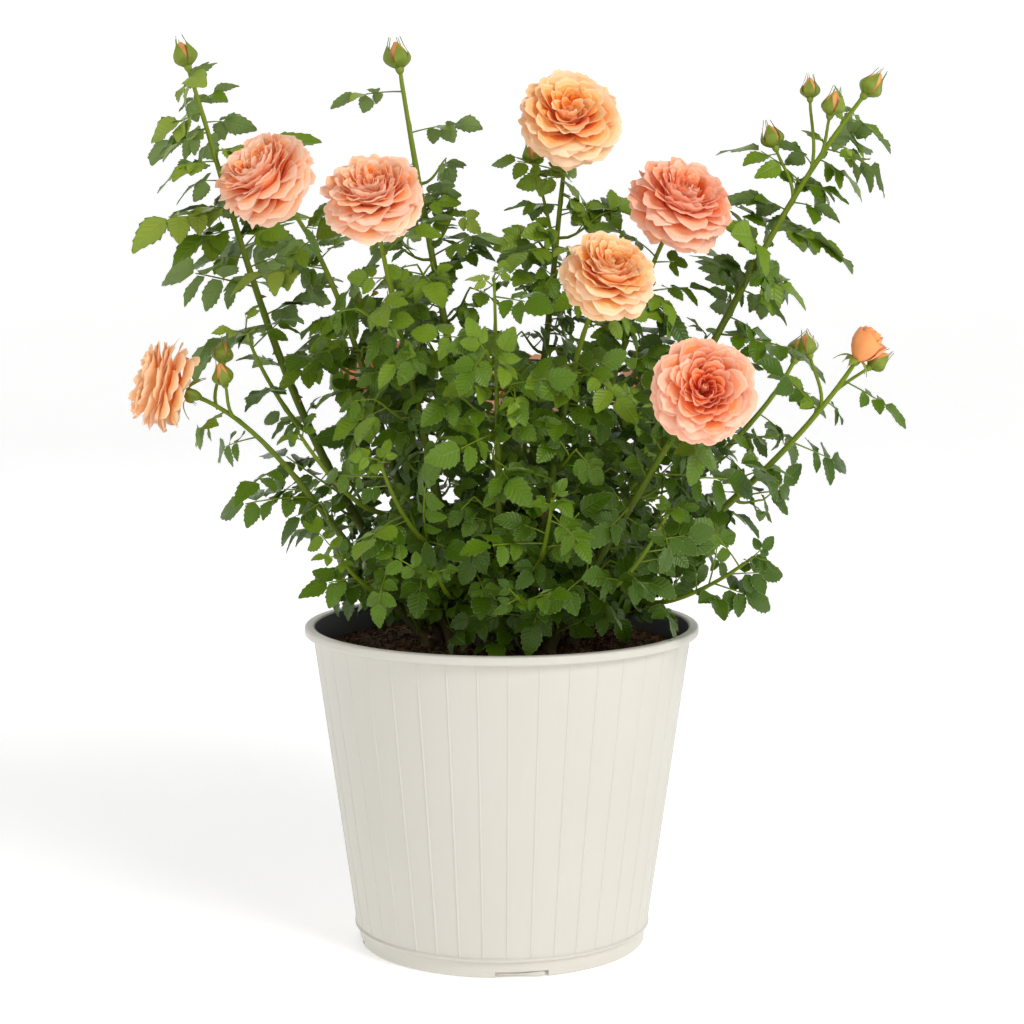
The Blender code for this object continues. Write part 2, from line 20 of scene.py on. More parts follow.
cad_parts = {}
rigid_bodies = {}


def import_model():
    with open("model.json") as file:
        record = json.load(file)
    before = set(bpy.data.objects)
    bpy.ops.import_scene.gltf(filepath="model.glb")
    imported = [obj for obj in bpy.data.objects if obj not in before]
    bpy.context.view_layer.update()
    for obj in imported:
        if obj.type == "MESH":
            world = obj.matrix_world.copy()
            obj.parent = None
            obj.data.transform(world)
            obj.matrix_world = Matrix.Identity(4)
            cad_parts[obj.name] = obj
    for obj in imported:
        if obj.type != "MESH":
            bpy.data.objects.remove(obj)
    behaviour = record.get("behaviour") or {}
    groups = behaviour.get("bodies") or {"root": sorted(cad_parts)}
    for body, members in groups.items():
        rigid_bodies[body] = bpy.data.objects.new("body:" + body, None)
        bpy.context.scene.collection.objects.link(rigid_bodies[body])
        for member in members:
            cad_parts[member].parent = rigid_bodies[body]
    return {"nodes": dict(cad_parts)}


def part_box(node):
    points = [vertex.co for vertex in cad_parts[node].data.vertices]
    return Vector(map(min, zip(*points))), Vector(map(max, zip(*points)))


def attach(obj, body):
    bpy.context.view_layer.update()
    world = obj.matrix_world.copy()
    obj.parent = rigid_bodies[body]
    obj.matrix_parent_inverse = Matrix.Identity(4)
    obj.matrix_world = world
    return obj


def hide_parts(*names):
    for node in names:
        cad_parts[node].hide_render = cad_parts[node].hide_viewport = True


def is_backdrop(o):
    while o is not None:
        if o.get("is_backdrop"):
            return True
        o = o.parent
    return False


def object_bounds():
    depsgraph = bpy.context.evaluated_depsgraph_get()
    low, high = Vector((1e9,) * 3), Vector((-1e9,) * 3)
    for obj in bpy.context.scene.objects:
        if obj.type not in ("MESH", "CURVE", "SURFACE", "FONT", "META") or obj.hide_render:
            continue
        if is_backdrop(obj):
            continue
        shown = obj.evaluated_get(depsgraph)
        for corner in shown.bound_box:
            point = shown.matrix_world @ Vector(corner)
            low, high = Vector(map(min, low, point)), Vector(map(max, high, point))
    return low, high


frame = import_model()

NODES = frame["nodes"]
SOLID_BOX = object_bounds()
UP = Vector((0, 0, 1))
print(len(NODES), "solids in a box of", [round(v * 1000) for v in SOLID_BOX[1] - SOLID_BOX[0]], "mm")

# %% [markdown]
# ## Camera and light
#
# A long lens from a metre and a half away looks slightly down on the bush, which keeps the pot's sides
# nearly straight. A white sky gives soft light from all round. One large lamp high in front on the right
# models the petals, a weak one on the left keeps the shadows open, and one behind draws a bright edge
# round the leaves.

# %% Camera and light
CAMERA_PLACE = (0.0065, -1.486, 0.4494)
CAMERA_DIP = math.radians(6.7)
LENS = 83.1


def aimed(item, target):
    item.rotation_euler = (Vector(target) - item.location).to_track_quat("-Z", "Y").to_euler()


def lamp(name, place, target, size, power, tone):
    light = bpy.data.lights.new(name, "AREA")
    light.shape = "DISK"
    light.size = size
    light.energy = power
    light.color = tone
    item = bpy.data.objects.new(name, light)
    item.location = place
    bpy.context.scene.collection.objects.link(item)
    aimed(item, target)


camera = bpy.data.objects.new("camera", bpy.data.cameras.new("camera"))
camera.data.lens = LENS
camera.data.sensor_width = 36
camera.location = CAMERA_PLACE
camera.rotation_euler = (math.pi / 2 - CAMERA_DIP, 0, 0)
bpy.context.scene.collection.objects.link(camera)
bpy.context.scene.camera = camera

lamp("key_lamp", (1.5, -1.9, 2.0), (0, 0, 0.3), 1.2, 39, (1.0, 0.985, 0.96))
lamp("fill_lamp", (-1.9, -1.3, 1.2), (0, 0, 0.3), 1.6, 0.6, (0.97, 0.98, 1.0))
lamp("back_lamp", (-0.6, 2.2, 1.9), (0, 0, 0.35), 1.4, 10, (1.0, 1.0, 1.0))

sky = bpy.data.worlds.new("studio_sky")
sky.use_nodes = True
sky.node_tree.nodes["Background"].inputs["Color"].default_value = (1.0, 1.0, 1.0, 1)
sky.node_tree.nodes["Background"].inputs["Strength"].default_value = 0.30
bpy.context.scene.world = sky
bpy.context.scene.view_settings.view_transform = "Standard"
print("camera looks", round(math.degrees(CAMERA_DIP), 1), "degrees down through a", LENS, "mm lens")

# %% [markdown]
# ## Finishes
#
# A finish is a Principled shader with a few nodes in front of it. Wiring nodes by hand takes many lines,
# so one class wraps an output socket and lets Python's own arithmetic add the Math nodes, and one method
# adds any other node from its type, its settings and its sockets. Colours are told as the 0 to 255
# values of a paint chip and changed to the linear light that the shader wants.

# %% Finish helpers


class Socket:
    """An output of a finish's nodes. Arithmetic on it adds a Math node."""

    def __init__(self, finish, output):
        self.finish = finish
        self.output = output

    def maths(self, operation, first, second):
        return self.finish.node("ShaderNodeMath", {"operation": operation}, {0: first, 1: second})

    def __add__(self, other):
        return self.maths("ADD", self, other)

    def __mul__(self, other):
        return self.maths("MULTIPLY", self, other)

    def __sub__(self, other):
        return self.maths("SUBTRACT", self, other)

    def __rsub__(self, other):
        return self.maths("SUBTRACT", other, self)

    def __pow__(self, other):
        return self.maths("POWER", self, other)

    __radd__ = __add__
    __rmul__ = __mul__


def tone(red, green, blue):
    """A paint chip's red, green and blue, 0 to 255, as the shader's linear colour."""
    shares = [value / 255 for value in (red, green, blue)]
    return (*[s / 12.92 if s <= 0.04045 else ((s + 0.055) / 1.055) ** 2.4 for s in shares], 1)


class Finish:
    """A material with a Principled shader. Names of the shader's sockets are written with _ for a space."""

    def __init__(self, name):
        self.material = bpy.data.materials.new(name)
        self.material.use_nodes = True
        self.tree = self.material.node_tree
        self.shader = self.tree.nodes["Principled BSDF"]

    def feed(self, socket, value):
        if isinstance(value, Socket):
            self.tree.links.new(value.output, socket)
        else:
            socket.default_value = value

    def node(self, kind, settings=None, sockets=None, output=0):
        made = self.tree.nodes.new(kind)
        for name, value in (settings or {}).items():
            if name == "stops":
                self.set_stops(made.color_ramp, value)
            else:
                setattr(made, name, value)
        for name, value in (sockets or {}).items():
            self.feed(made.inputs[name], value)
        return Socket(self, made.outputs[output])

    def set_stops(self, ramp, stops):
        while len(ramp.elements) < len(stops):
            ramp.elements.new(1)
        for element, (place, colour) in zip(ramp.elements, stops):
            element.position = place
            element.color = colour

    def speckle(self, scale, detail=3, stretch=(1, 1, 1)):
        """Cloudy noise from 0 to 1 over the piece, with its pattern's size set by scale in cells a metre."""
        place = self.node("ShaderNodeTexCoord", output="Object")
        place = self.node("ShaderNodeMapping", sockets={"Vector": place, "Scale": stretch})
        return self.node("ShaderNodeTexNoise", sockets={"Vector": place, "Scale": scale, "Detail": detail})

    def blend(self, share, first, second):
        return self.node("ShaderNodeMix", {"data_type": "RGBA"}, {0: share, 6: first, 7: second}, output=2)

    def relief(self, height, depth, strength=1.0):
        sockets = {"Height": height, "Distance": depth, "Strength": strength}
        return self.node("ShaderNodeBump", sockets=sockets)

    def show(self, **values):
        for name, value in values.items():
            self.feed(self.shader.inputs[name.replace("_", " ")], value)
        return self


print("a chip of 200, 100, 50 is", [round(v, 3) for v in tone(200, 100, 50)])

# %% [markdown]
# ## Pieces and evaluated meshes
#
# Every finished piece is one object at the origin with its shape in its mesh. It rides on the body that
# the solids belong to, and the solids that it stands for are hidden. Modifiers and Geometry Nodes are
# worked out once and kept as a plain mesh.

# %% Piece helpers


def linked(name, data):
    made = bpy.data.objects.new(name, data)
    bpy.context.scene.collection.objects.link(made)
    return made


def worked_out(item):
    """The mesh of an object with its modifiers applied. The object itself goes."""
    bpy.context.view_layer.update()
    graph = bpy.context.evaluated_depsgraph_get()
    whole = item.evaluated_get(graph)
    mesh = bpy.data.meshes.new_from_object(whole, preserve_all_data_layers=True, depsgraph=graph)
    bpy.data.objects.remove(item)
    return mesh


def piece(name, mesh, finishes=(), replaced=()):
    for finish in finishes:
        mesh.materials.append(finish.material)
    made = linked(name, mesh)
    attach(made, "root")
    if replaced:
        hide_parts(*replaced)
    triangles = sum(len(face.vertices) - 2 for face in mesh.polygons)
    print(f"{name}: {triangles} triangles, {len(mesh.materials)} finishes")
    return made


def smooth(mesh, angle=40):
    mesh.shade_smooth()
    mesh.set_sharp_from_angle(angle=math.radians(angle))


class Tree:
    """A Geometry Nodes tree with named inputs, each given as (name, kind of socket)."""

    def __init__(self, name, inputs):
        self.group = bpy.data.node_groups.new(name, "GeometryNodeTree")
        face = self.group.interface
        face.new_socket("Geometry", in_out="OUTPUT", socket_type="NodeSocketGeometry")
        face.new_socket("Geometry", in_out="INPUT", socket_type="NodeSocketGeometry")
        for label, kind in inputs:
            face.new_socket(label, in_out="INPUT", socket_type=f"NodeSocket{kind}")
        self.inputs = self.group.nodes.new("NodeGroupInput").outputs
        self.outputs = self.group.nodes.new("NodeGroupOutput").inputs

    def node(self, kind, settings=None, sockets=None):
        made = self.group.nodes.new(kind)
        for name, value in (settings or {}).items():
            setattr(made, name, value)
        for name, value in (sockets or {}).items():
            if isinstance(value, bpy.types.NodeSocket):
                self.group.links.new(value, made.inputs[name])
            else:
                made.inputs[name].default_value = value
        return made.outputs

    def finish(self, geometry):
        self.group.links.new(geometry, self.outputs[0])

    def grown(self, mesh, **values):
        """The plain mesh that the tree makes of a mesh. Inputs are named with _ for a space."""
        carrier = linked(self.group.name, mesh)
        modifier = carrier.modifiers.new("grow", "NODES")
        modifier.node_group = self.group
        for item in self.group.interface.items_tree:
            value = values.get(item.name.replace(" ", "_"))
            if item.in_out == "INPUT" and value is not None:
                modifier[item.identifier] = value
        return worked_out(carrier)


def turned(profile, sides):
    """A shape turned about Z from its profile of (radius, height)."""
    mesh = bpy.data.meshes.new("turned")
    mesh.from_pydata([(r, 0, z) for r, z in profile], [(i, i + 1) for i in range(len(profile) - 1)], [])
    item = linked("turned", mesh)
    screw = item.modifiers.new("turn", "SCREW")
    screw.steps = sides
    screw.render_steps = sides
    screw.use_merge_vertices = True
    screw.merge_threshold = 0.00001
    return worked_out(item)


print("helpers made: linked, worked_out, piece, smooth, Tree and turned")

# %% [markdown]
# ## The floor
#
# The floor is a wide pale bowl instead of a plane, because its rim turns up out of sight and leaves no
# horizon line behind the leaves. It lies a hair under the pot's foot, so that the two never share a
# surface. Its paint glows a little, because the lamps alone would leave it grey. It is a stage prop and
# no part of the bush.

# %% The floor
FLOOR_RADIUS = 3.4
FLOOR_DROP = 0.0004
BEND_RADIUS = 1.4
BEND_STEPS = 8
BEND_ANGLE = 1.5
BOWL_TOP = 2.9
bowl = [(0, 0), (FLOOR_RADIUS, 0)]
for step in range(1, BEND_STEPS + 1):
    angle = step / BEND_STEPS * BEND_ANGLE
    bowl.append((FLOOR_RADIUS + BEND_RADIUS * math.sin(angle), BEND_RADIUS - BEND_RADIUS * math.cos(angle)))
bowl.append((bowl[-1][0] + 0.1, BOWL_TOP))
floor = linked("floor", turned([(r, z - FLOOR_DROP) for r, z in bowl], 96))
smooth(floor.data)
floor_paint = Finish("floor_paint")
floor_cloud = floor_paint.speckle(3, detail=2)
floor_tone = floor_paint.blend(floor_cloud, tone(250, 250, 250), tone(252, 252, 252))
floor_paint.show(Base_Color=floor_tone, Roughness=0.9)
floor_paint.show(Emission_Color=(1, 1, 1, 1), Emission_Strength=0.34)
floor.data.materials.append(floor_paint.material)
floor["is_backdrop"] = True
print("the floor is", FLOOR_RADIUS * 2, "m across before it turns up")

# %% [markdown]
# ## The pot
#
# A grower's pot is blow-moulded: one thin wall that tapers to a narrower foot, a rolled rim, and a step
# near the bottom with a fine bead on it. Such a shape is a profile turned about the middle. The inside
# is moulded in the same shot but painted by the dark outer layer of the plastic, so the faces that look
# inward take a second finish. Four shallow notches in the foot let water drain, and a box cuts each of
# them.

# %% Pot
POT_HEIGHT = 0.204
RIM_RADIUS = 0.125
LIP_WIDTH = 0.0046
LIP_DEPTH = 0.0056
LIP_ROUND = 0.0014
WALL = 0.0018
WALL_TOP_RADIUS = RIM_RADIUS - LIP_WIDTH
WALL_FOOT_RADIUS = 0.0932
LEDGE_HEIGHT = 0.0104
BEAD = 0.0012
FOOT_RADIUS = 0.0915
FLOOR = 0.0062
POT_SIDES = 160
DRAIN_SLOTS = 4
FIRST_SLOT = -82
SLOT_SIZE = (0.033, 0.009, 0.0076)


def direction(bearing, elevation):
    b = math.radians(bearing)
    e = math.radians(elevation)
    return Vector((math.cos(b) * math.cos(e), math.sin(b) * math.cos(e), math.sin(e)))


def wall_radius(height):
    span = POT_HEIGHT - LEDGE_HEIGHT
    return WALL_FOOT_RADIUS + (WALL_TOP_RADIUS - WALL_FOOT_RADIUS) * (height - LEDGE_HEIGHT) / span


def rounded(middle, radius, start, end, steps=5):
    """Points of an arc round (radius, height) from one angle to another, degrees."""
    angles = [math.radians(start + (end - start) * i / steps) for i in range(steps + 1)]
    return [(middle[0] + radius * math.cos(a), middle[1] + radius * math.sin(a)) for a in angles]


def pot_profile():
    lip_bottom = POT_HEIGHT - LIP_DEPTH
    inside = wall_radius(POT_HEIGHT) - WALL
    foot_inside = FOOT_RADIUS - WALL
    soft = LIP_ROUND * 1.15
    points = [(0, FLOOR), (foot_inside, FLOOR), (foot_inside, LEDGE_HEIGHT)]
    points += rounded((inside + soft, POT_HEIGHT - soft), soft, 180, 90)
    points += rounded((RIM_RADIUS - soft, POT_HEIGHT - soft), soft, 90, 0)
    points += rounded((RIM_RADIUS - soft, lip_bottom + soft), soft, 0, -90)
    points += [(wall_radius(lip_bottom) + 0.0008, lip_bottom), (wall_radius(lip_bottom), lip_bottom - 0.0008)]
    points += [(wall_radius(LEDGE_HEIGHT + 2.2 * BEAD), LEDGE_HEIGHT + 2.2 * BEAD)]
    points += rounded((WALL_FOOT_RADIUS + 0.4 * BEAD, LEDGE_HEIGHT + BEAD), BEAD * 0.8, 70, -80)
    points += [(FOOT_RADIUS, LEDGE_HEIGHT - BEAD), (FOOT_RADIUS, 0.0008), (FOOT_RADIUS - 0.0008, 0), (0, 0)]
    return points


def pot_mesh():
    pot = linked("pot_blank", turned(pot_profile(), POT_SIDES))
    for i in range(DRAIN_SLOTS):
        bearing = FIRST_SLOT + 360 * i / DRAIN_SLOTS
        bpy.ops.mesh.primitive_cube_add(size=1)
        cutter = bpy.context.object
        cutter.name = f"drain_cutter_{i + 1}"
        cutter.location = direction(bearing, 0) * FOOT_RADIUS
        cutter.rotation_euler.z = math.radians(bearing + 90)
        cutter.scale = SLOT_SIZE
        cut = pot.modifiers.new(cutter.name, "BOOLEAN")
        cut.object = cutter
    mesh = worked_out(pot)
    for i in range(DRAIN_SLOTS):
        bpy.data.objects.remove(bpy.data.objects[f"drain_cutter_{i + 1}"])
    return mesh


pot = pot_mesh()
smooth(pot, 32)
for face in pot.polygons:
    middle = face.center
    outward = face.normal.x * middle.x + face.normal.y * middle.y
    face.material_index = int(middle.z > FLOOR - 0.0005 and outward < 0 and middle.z < POT_HEIGHT - 0.0012)
print("the wall slopes from", WALL_TOP_RADIUS * 1000, "to", WALL_FOOT_RADIUS * 1000, "mm")

# %% [markdown]
# ## The pot's plastic
#
# Cream plastic of this kind is satin, not glossy. Its colour drifts a little from place to place, its
# skin has fine flow marks that run down the wall, and handling leaves it slightly duller in patches. The
# noise is stretched along Z to draw the flow marks. The dark inside is a plain charcoal with the same
# soft sheen.

# %% Plastic finishes
pot_cream = Finish("pot_cream")
drift = pot_cream.speckle(14, detail=2)
flow = pot_cream.speckle(260, detail=4, stretch=(1, 1, 0.06))
grain = pot_cream.speckle(2400, detail=2)
pot_cream.show(
    Base_Color=pot_cream.blend(drift * 0.7 + flow * 0.3, tone(206, 202, 191), tone(214, 211, 202)),
    Roughness=0.36 + flow * 0.14,
    Normal=pot_cream.relief(flow * 0.8 + grain * 0.2, 0.00012, 0.5),
)

pot_charcoal = Finish("pot_charcoal")
dust = pot_charcoal.speckle(60, detail=5)
pot_charcoal.show(
    Base_Color=pot_charcoal.blend(dust ** 2.0, tone(52, 54, 58), tone(84, 85, 86)),
    Roughness=0.38 + dust * 0.2,
    Normal=pot_charcoal.relief(dust, 0.0001, 0.4),
)
piece("pot_shell", pot, (pot_cream, pot_charcoal), ["pot"])

# %% [markdown]
# ## Drops of plastic in the notches
#
# In each notch lies the drop of plastic that the mould leaves there, thin at one end and round at the
# other. It is turned about its own length like the pot itself, laid down along the notch and copied to
# all four.

# %% Drops
DROP_LENGTH = 0.030
# radius and distance along the notch, as thousandths
DROP = ((0, 0), (0.4, 0.6), (0.5, 8), (0.6, 15), (0.9, 19), (1.5, 23), (1.7, 26), (1.4, 28.6), (0, 30))
DROP_HEIGHT = 0.0019
DROP_DEPTH = 0.0022
drops = bmesh.new()
for i in range(DRAIN_SLOTS):
    bearing = FIRST_SLOT + 360 * i / DRAIN_SLOTS
    drop = turned([(r * 0.001, z * 0.001 - DROP_LENGTH / 2) for r, z in DROP], 20)
    across = direction(bearing + 90, 0)
    outward = direction(bearing, 0)
    lie = Matrix((outward, across.cross(outward), across)).transposed().to_4x4()
    drop.transform(Matrix.Translation(outward * (FOOT_RADIUS - DROP_DEPTH) + UP * DROP_HEIGHT) @ lie)
    drops.from_mesh(drop)
drop_mesh = bpy.data.meshes.new("foot_drops")
drops.to_mesh(drop_mesh)
drops.free()
smooth(drop_mesh, 60)
piece("foot_drops", drop_mesh, (pot_cream,))

# %% [markdown]
# ## Ribs down the wall
#
# Forty fine ribs stiffen the thin wall. They are one shape repeated round the pot, which is work for
# Geometry Nodes: a slim tube is drawn once along the slope of the wall, set out on as many points as
# there are ribs, and each copy is turned a step further. Only the tube's outer skin stands proud,
# because most of it lies sunk in the wall.

# %% Ribs
RIBS = 40
FIRST_RIB = 2.2
RIB_RADIUS = 0.0010
RIB_PROUD = 0.00045
RIB_FOOT = LEDGE_HEIGHT + 2.4 * BEAD
RIB_TOP = POT_HEIGHT - LIP_DEPTH - 0.0005

rib_tree = Tree("rib_maker", [("Count", "Int"), ("First", "Float"), ("Foot", "Vector"), ("Top", "Vector")])
given = rib_tree.inputs
line = rib_tree.node("GeometryNodeCurvePrimitiveLine", sockets={"Start": given["Foot"], "End": given["Top"]})
ring = rib_tree.node("GeometryNodeCurvePrimitiveCircle", sockets={"Resolution": 10, "Radius": RIB_RADIUS})
sockets = {"Curve": line[0], "Profile Curve": ring[0], "Fill Caps": True}
bar = rib_tree.node("GeometryNodeCurveToMesh", sockets=sockets)
spots = rib_tree.node("GeometryNodePoints", sockets={"Count": given["Count"]})
step = rib_tree.node("ShaderNodeMath", {"operation": "DIVIDE"}, {0: math.tau, 1: given["Count"]})
order = rib_tree.node("GeometryNodeInputIndex")
sockets = {0: order[0], 1: step[0], 2: given["First"]}
angle = rib_tree.node("ShaderNodeMath", {"operation": "MULTIPLY_ADD"}, sockets)
spin = rib_tree.node("ShaderNodeCombineXYZ", sockets={"Z": angle[0]})
sockets = {"Points": spots[0], "Instance": bar[0], "Rotation": spin[0]}
ribs = rib_tree.node("GeometryNodeInstanceOnPoints", sockets=sockets)
real = rib_tree.node("GeometryNodeRealizeInstances", sockets={"Geometry": ribs[0]})
sockets = {"Geometry": real[0], "Material": pot_cream.material}
rib_tree.finish(rib_tree.node("GeometryNodeSetMaterial", sockets=sockets)[0])


def rib_end(height):
    return (wall_radius(height) + RIB_PROUD - RIB_RADIUS, 0, height)


ribs_mesh = rib_tree.grown(
    bpy.data.meshes.new("none"),
    Count=RIBS,
    First=math.radians(FIRST_RIB),
    Foot=rib_end(RIB_FOOT),
    Top=rib_end(RIB_TOP),
)
smooth(ribs_mesh, 50)
piece("pot_ribs", ribs_mesh)
print(RIBS, "ribs,", 360 / RIBS, "degrees apart,", RIB_PROUD * 1000, "mm proud")

# %% [markdown]
# ## Potting soil
#
# Peat fills the pot to a finger's width below the rim. It heaps up slightly in the middle, and its loose
# top banks up a few millimetres against the wall. A flat disc with a bump map reads as a lid from this
# low, so the surface itself is lumpy: a fine turned disc, each of its vertices pushed up or down by
# noise at two sizes. The rest of the plug is a plain turned side and bottom that nobody sees, which
# closes the shape.

# %% Soil
SOIL_CROWN = 0.190
SOIL_EDGE = 0.184
SOIL_FLAT = 0.056
TOUCH = 0.0003
SOIL_BANK = 0.0035
SOIL_SIDE = wall_radius(SOIL_EDGE) - WALL - 2 * TOUCH


def soil_height(x, y):
    reach = math.hypot(x, y)
    fall = max(0, (reach - SOIL_FLAT) / (SOIL_SIDE - SOIL_FLAT))
    lumps = noise.noise(Vector((x, y, 0)) * 55) * 0.0028 + noise.noise(Vector((x, y, 3)) * 190) * 0.0014
    lumps *= min(1, (SOIL_SIDE - reach) / 0.01 + 0.25)
    return SOIL_CROWN + (SOIL_EDGE + SOIL_BANK - SOIL_CROWN) * fall + lumps


def soil_mesh():
    rings = 46
    foot = FOOT_RADIUS - WALL - TOUCH
    profile = [(SOIL_SIDE * i / rings, SOIL_CROWN) for i in range(rings + 1)]
    profile += [(foot, LEDGE_HEIGHT), (foot, FLOOR + TOUCH), (0, FLOOR + TOUCH)]
    mesh = turned(profile, 180)
    for vertex in mesh.vertices:
        if vertex.co.z > SOIL_CROWN - 0.001:
            vertex.co.z = soil_height(vertex.co.x, vertex.co.y)
    return mesh


peat = Finish("peat")
clod = peat.speckle(420, detail=6)
damp = peat.speckle(30, detail=2)
fibre = peat.speckle(900, detail=2, stretch=(1, 0.12, 1))
peat_tone = peat.blend(clod, tone(34, 23, 14), tone(100, 74, 50))
peat.show(
    Base_Color=peat.blend((fibre ** 6.0) * 3.0 * damp, peat_tone, tone(160, 124, 84)),
    Roughness=0.95,
    Normal=peat.relief(clod * 0.7 + fibre * 0.3, 0.0012, 0.9),
)
peat.show(Specular_IOR_Level=0.2)
soil = soil_mesh()
smooth(soil, 60)
piece("soil_bed", soil, (peat,), ["soil"])

# %% [markdown]
# ## Crumbs, chips and fibres on the soil
#
# Potting soil is never one surface: crumbs of peat, chips of bark and pale fibres lie loose on it. One
# tree scatters any grain over a surface. It drops points with a fixed seed, sets a copy of the grain on
# each, turned and scaled at random, and makes the copies real. The same tree runs four times with other
# grains, numbers and finishes.

# %% Scatter tree
scatter = Tree(
    "scatter",
    [("Grain", "Object"), ("Per square metre", "Float"), ("Smallest", "Float"), ("Largest", "Float")]
    + [("Tip", "Float"), ("Seed", "Int"), ("Finish", "Material")],
)
given = scatter.inputs
where = scatter.node(
    "GeometryNodeDistributePointsOnFaces",
    sockets={"Mesh": given["Geometry"], "Density": given["Per square metre"], "Seed": given["Seed"]},
)
grain_in = scatter.node("GeometryNodeObjectInfo", sockets={"Object": given["Grain"]})
least = scatter.node("ShaderNodeMath", {"operation": "MULTIPLY"}, {0: given["Tip"], 1: -1.0})
low = scatter.node("ShaderNodeCombineXYZ", sockets={"X": least[0], "Y": least[0], "Z": -math.pi})
high = scatter.node("ShaderNodeCombineXYZ", sockets={"X": given["Tip"], "Y": given["Tip"], "Z": math.pi})
sockets = {"Min": low[0], "Max": high[0], "Seed": given["Seed"]}
turn = scatter.node("FunctionNodeRandomValue", {"data_type": "FLOAT_VECTOR"}, sockets)
sockets = {2: given["Smallest"], 3: given["Largest"], "Seed": given["Seed"]}
size = scatter.node("FunctionNodeRandomValue", {"data_type": "FLOAT"}, sockets)
lain = scatter.node(
    "GeometryNodeInstanceOnPoints",
    sockets={"Points": where[0], "Instance": grain_in["Geometry"], "Rotation": turn[0], "Scale": size[1]},
)
real = scatter.node("GeometryNodeRealizeInstances", sockets={"Geometry": lain[0]})
told = scatter.node("GeometryNodeSetMaterial", sockets={"Geometry": real[0], "Material": given["Finish"]})
scatter.finish(told[0])
print("the scatter tree has", len(scatter.group.nodes), "nodes")

# %% [markdown]
# ## The grains
#
# A crumb is an uneven lump of twenty faces and a fibre is a bent three-sided thread, because thousands
# of copies have to stay light. They lie on a disc that follows the soil's own surface. Each row of the
# list is one run of the tree: the grain, how many lie on a square metre, their smallest and largest
# size, how far they tip, the seed and the finish.

# %% Loose grains


def soil_surface(reach):
    """A disc that follows the soil's own surface out to a radius."""
    mesh = turned([(reach * i / 40, 0) for i in range(41)], 120)
    for vertex in mesh.vertices:
        vertex.co.z = soil_height(vertex.co.x, vertex.co.y)
    return mesh


def crumb(name, length, width, height, knobs, seed):
    """An uneven lump of twenty faces."""
    mesh = bpy.data.meshes.new(name)
    bm = bmesh.new()
    bmesh.ops.create_icosphere(bm, subdivisions=1, radius=0.5)
    rng = random.Random(seed)
    for vertex in bm.verts:
        vertex.co *= 1 + rng.uniform(-knobs, knobs)
        vertex.co = (vertex.co.x * length, vertex.co.y * width, vertex.co.z * height)
    bm.to_mesh(mesh)
    bm.free()
    return linked(name, mesh)


def strand(name, length, thickness, bend, seed):
    """A bent three-sided thread."""
    rng = random.Random(seed)
    bm = bmesh.new()
    rings = []
    for i in range(6):
        share = i / 5
        sway = bend * math.sin(share * 4 + rng.uniform(0, 1))
        middle = Vector((share - 0.5, sway, bend * 0.6 * math.sin(share * 3)))
        thick = thickness * (1 - 0.6 * abs(share - 0.4))
        ring = [bm.verts.new(middle * length + thick * direction(90, 120 * k).yzx) for k in range(3)]
        rings.append(ring)
    for a, b in zip(rings, rings[1:]):
        for k in range(3):
            bm.faces.new((a[k], a[k - 2], b[k - 2], b[k]))
    bm.faces.new(rings[0][::-1])
    bm.faces.new(rings[-1])
    bmesh.ops.recalc_face_normals(bm, faces=bm.faces)
    mesh = bpy.data.meshes.new(name)
    bm.to_mesh(mesh)
    bm.free()
    return linked(name, mesh)


def grain_finish(name, first, second):
    made = Finish(name)
    patch = made.speckle(500, detail=3)
    made.show(Base_Color=made.blend(patch, first, second), Roughness=0.92, Specular_IOR_Level=0.2)
    return made


CRUMB_DARK = grain_finish("crumb_dark", tone(36, 25, 16), tone(78, 56, 38))
CRUMB_BROWN = grain_finish("crumb_brown", tone(78, 56, 37), tone(128, 96, 64))
CHIP = grain_finish("bark_chip", tone(82, 54, 34), tone(144, 102, 66))
STRAND = grain_finish("fibre", tone(130, 94, 60), tone(186, 148, 104))
surface = soil_surface(SOIL_SIDE - 0.004)
GRAINS = [
    ("soil_crumbs_dark", crumb("crumb_a", 1, 0.8, 0.6, 0.25, 1), 52000, 0.0016, 0.0046, 3.1, 11, CRUMB_DARK),
    ("soil_crumbs_brown", crumb("crumb_b", 1, 0.7, 0.6, 0.3, 2), 26000, 0.0012, 0.0036, 3.1, 12, CRUMB_BROWN),
    ("soil_chips", crumb("chip", 1.5, 0.6, 0.25, 0.2, 3), 2600, 0.0028, 0.0065, 0.5, 13, CHIP),
    ("soil_fibres", strand("thread", 1, 0.026, 0.16, 4), 17000, 0.0050, 0.0150, 0.35, 14, STRAND),
]
for label, grain_shape, crowd, least_size, most_size, tip, seed, finish in GRAINS:
    grains = scatter.grown(
        surface.copy(),
        Grain=grain_shape,
        Per_square_metre=float(crowd),
        Smallest=least_size,
        Largest=most_size,
        Tip=tip,
        Seed=seed,
        Finish=finish.material,
    )
    bpy.data.objects.remove(grain_shape)
    piece(label, grains)

# %% [markdown]
# ## How the bush grows: canes
#
# Each cane is one row of the table: where its foot stands, where its flower or tip is, which way the tip
# points, how steeply it leaves the soil, how much of it is bare, and what it ends in. A smooth curve
# between the two ends, pulled along a heading at each, gives the arching line of a real cane. Everything
# else on the bush is placed by distance along such a line.

# %% The canes' table
CROWN_HEIGHT = 0.018
CROWN_TOP = 0.0135
CROWN_FLARE = 0.0050
CANE_FOOT = 0.0036
CANE_TIP = 0.0025
SHOOT_FOOT = 0.0019
SHOOT_TIP = 0.0014
SHOOT_STEPS = 4
COLLAR = 0.004
FOOT_PULL = 0.38
TIP_PULL = 0.28
HEAD_DEPTH = 0.038
HEAD_SEAT = 0.4

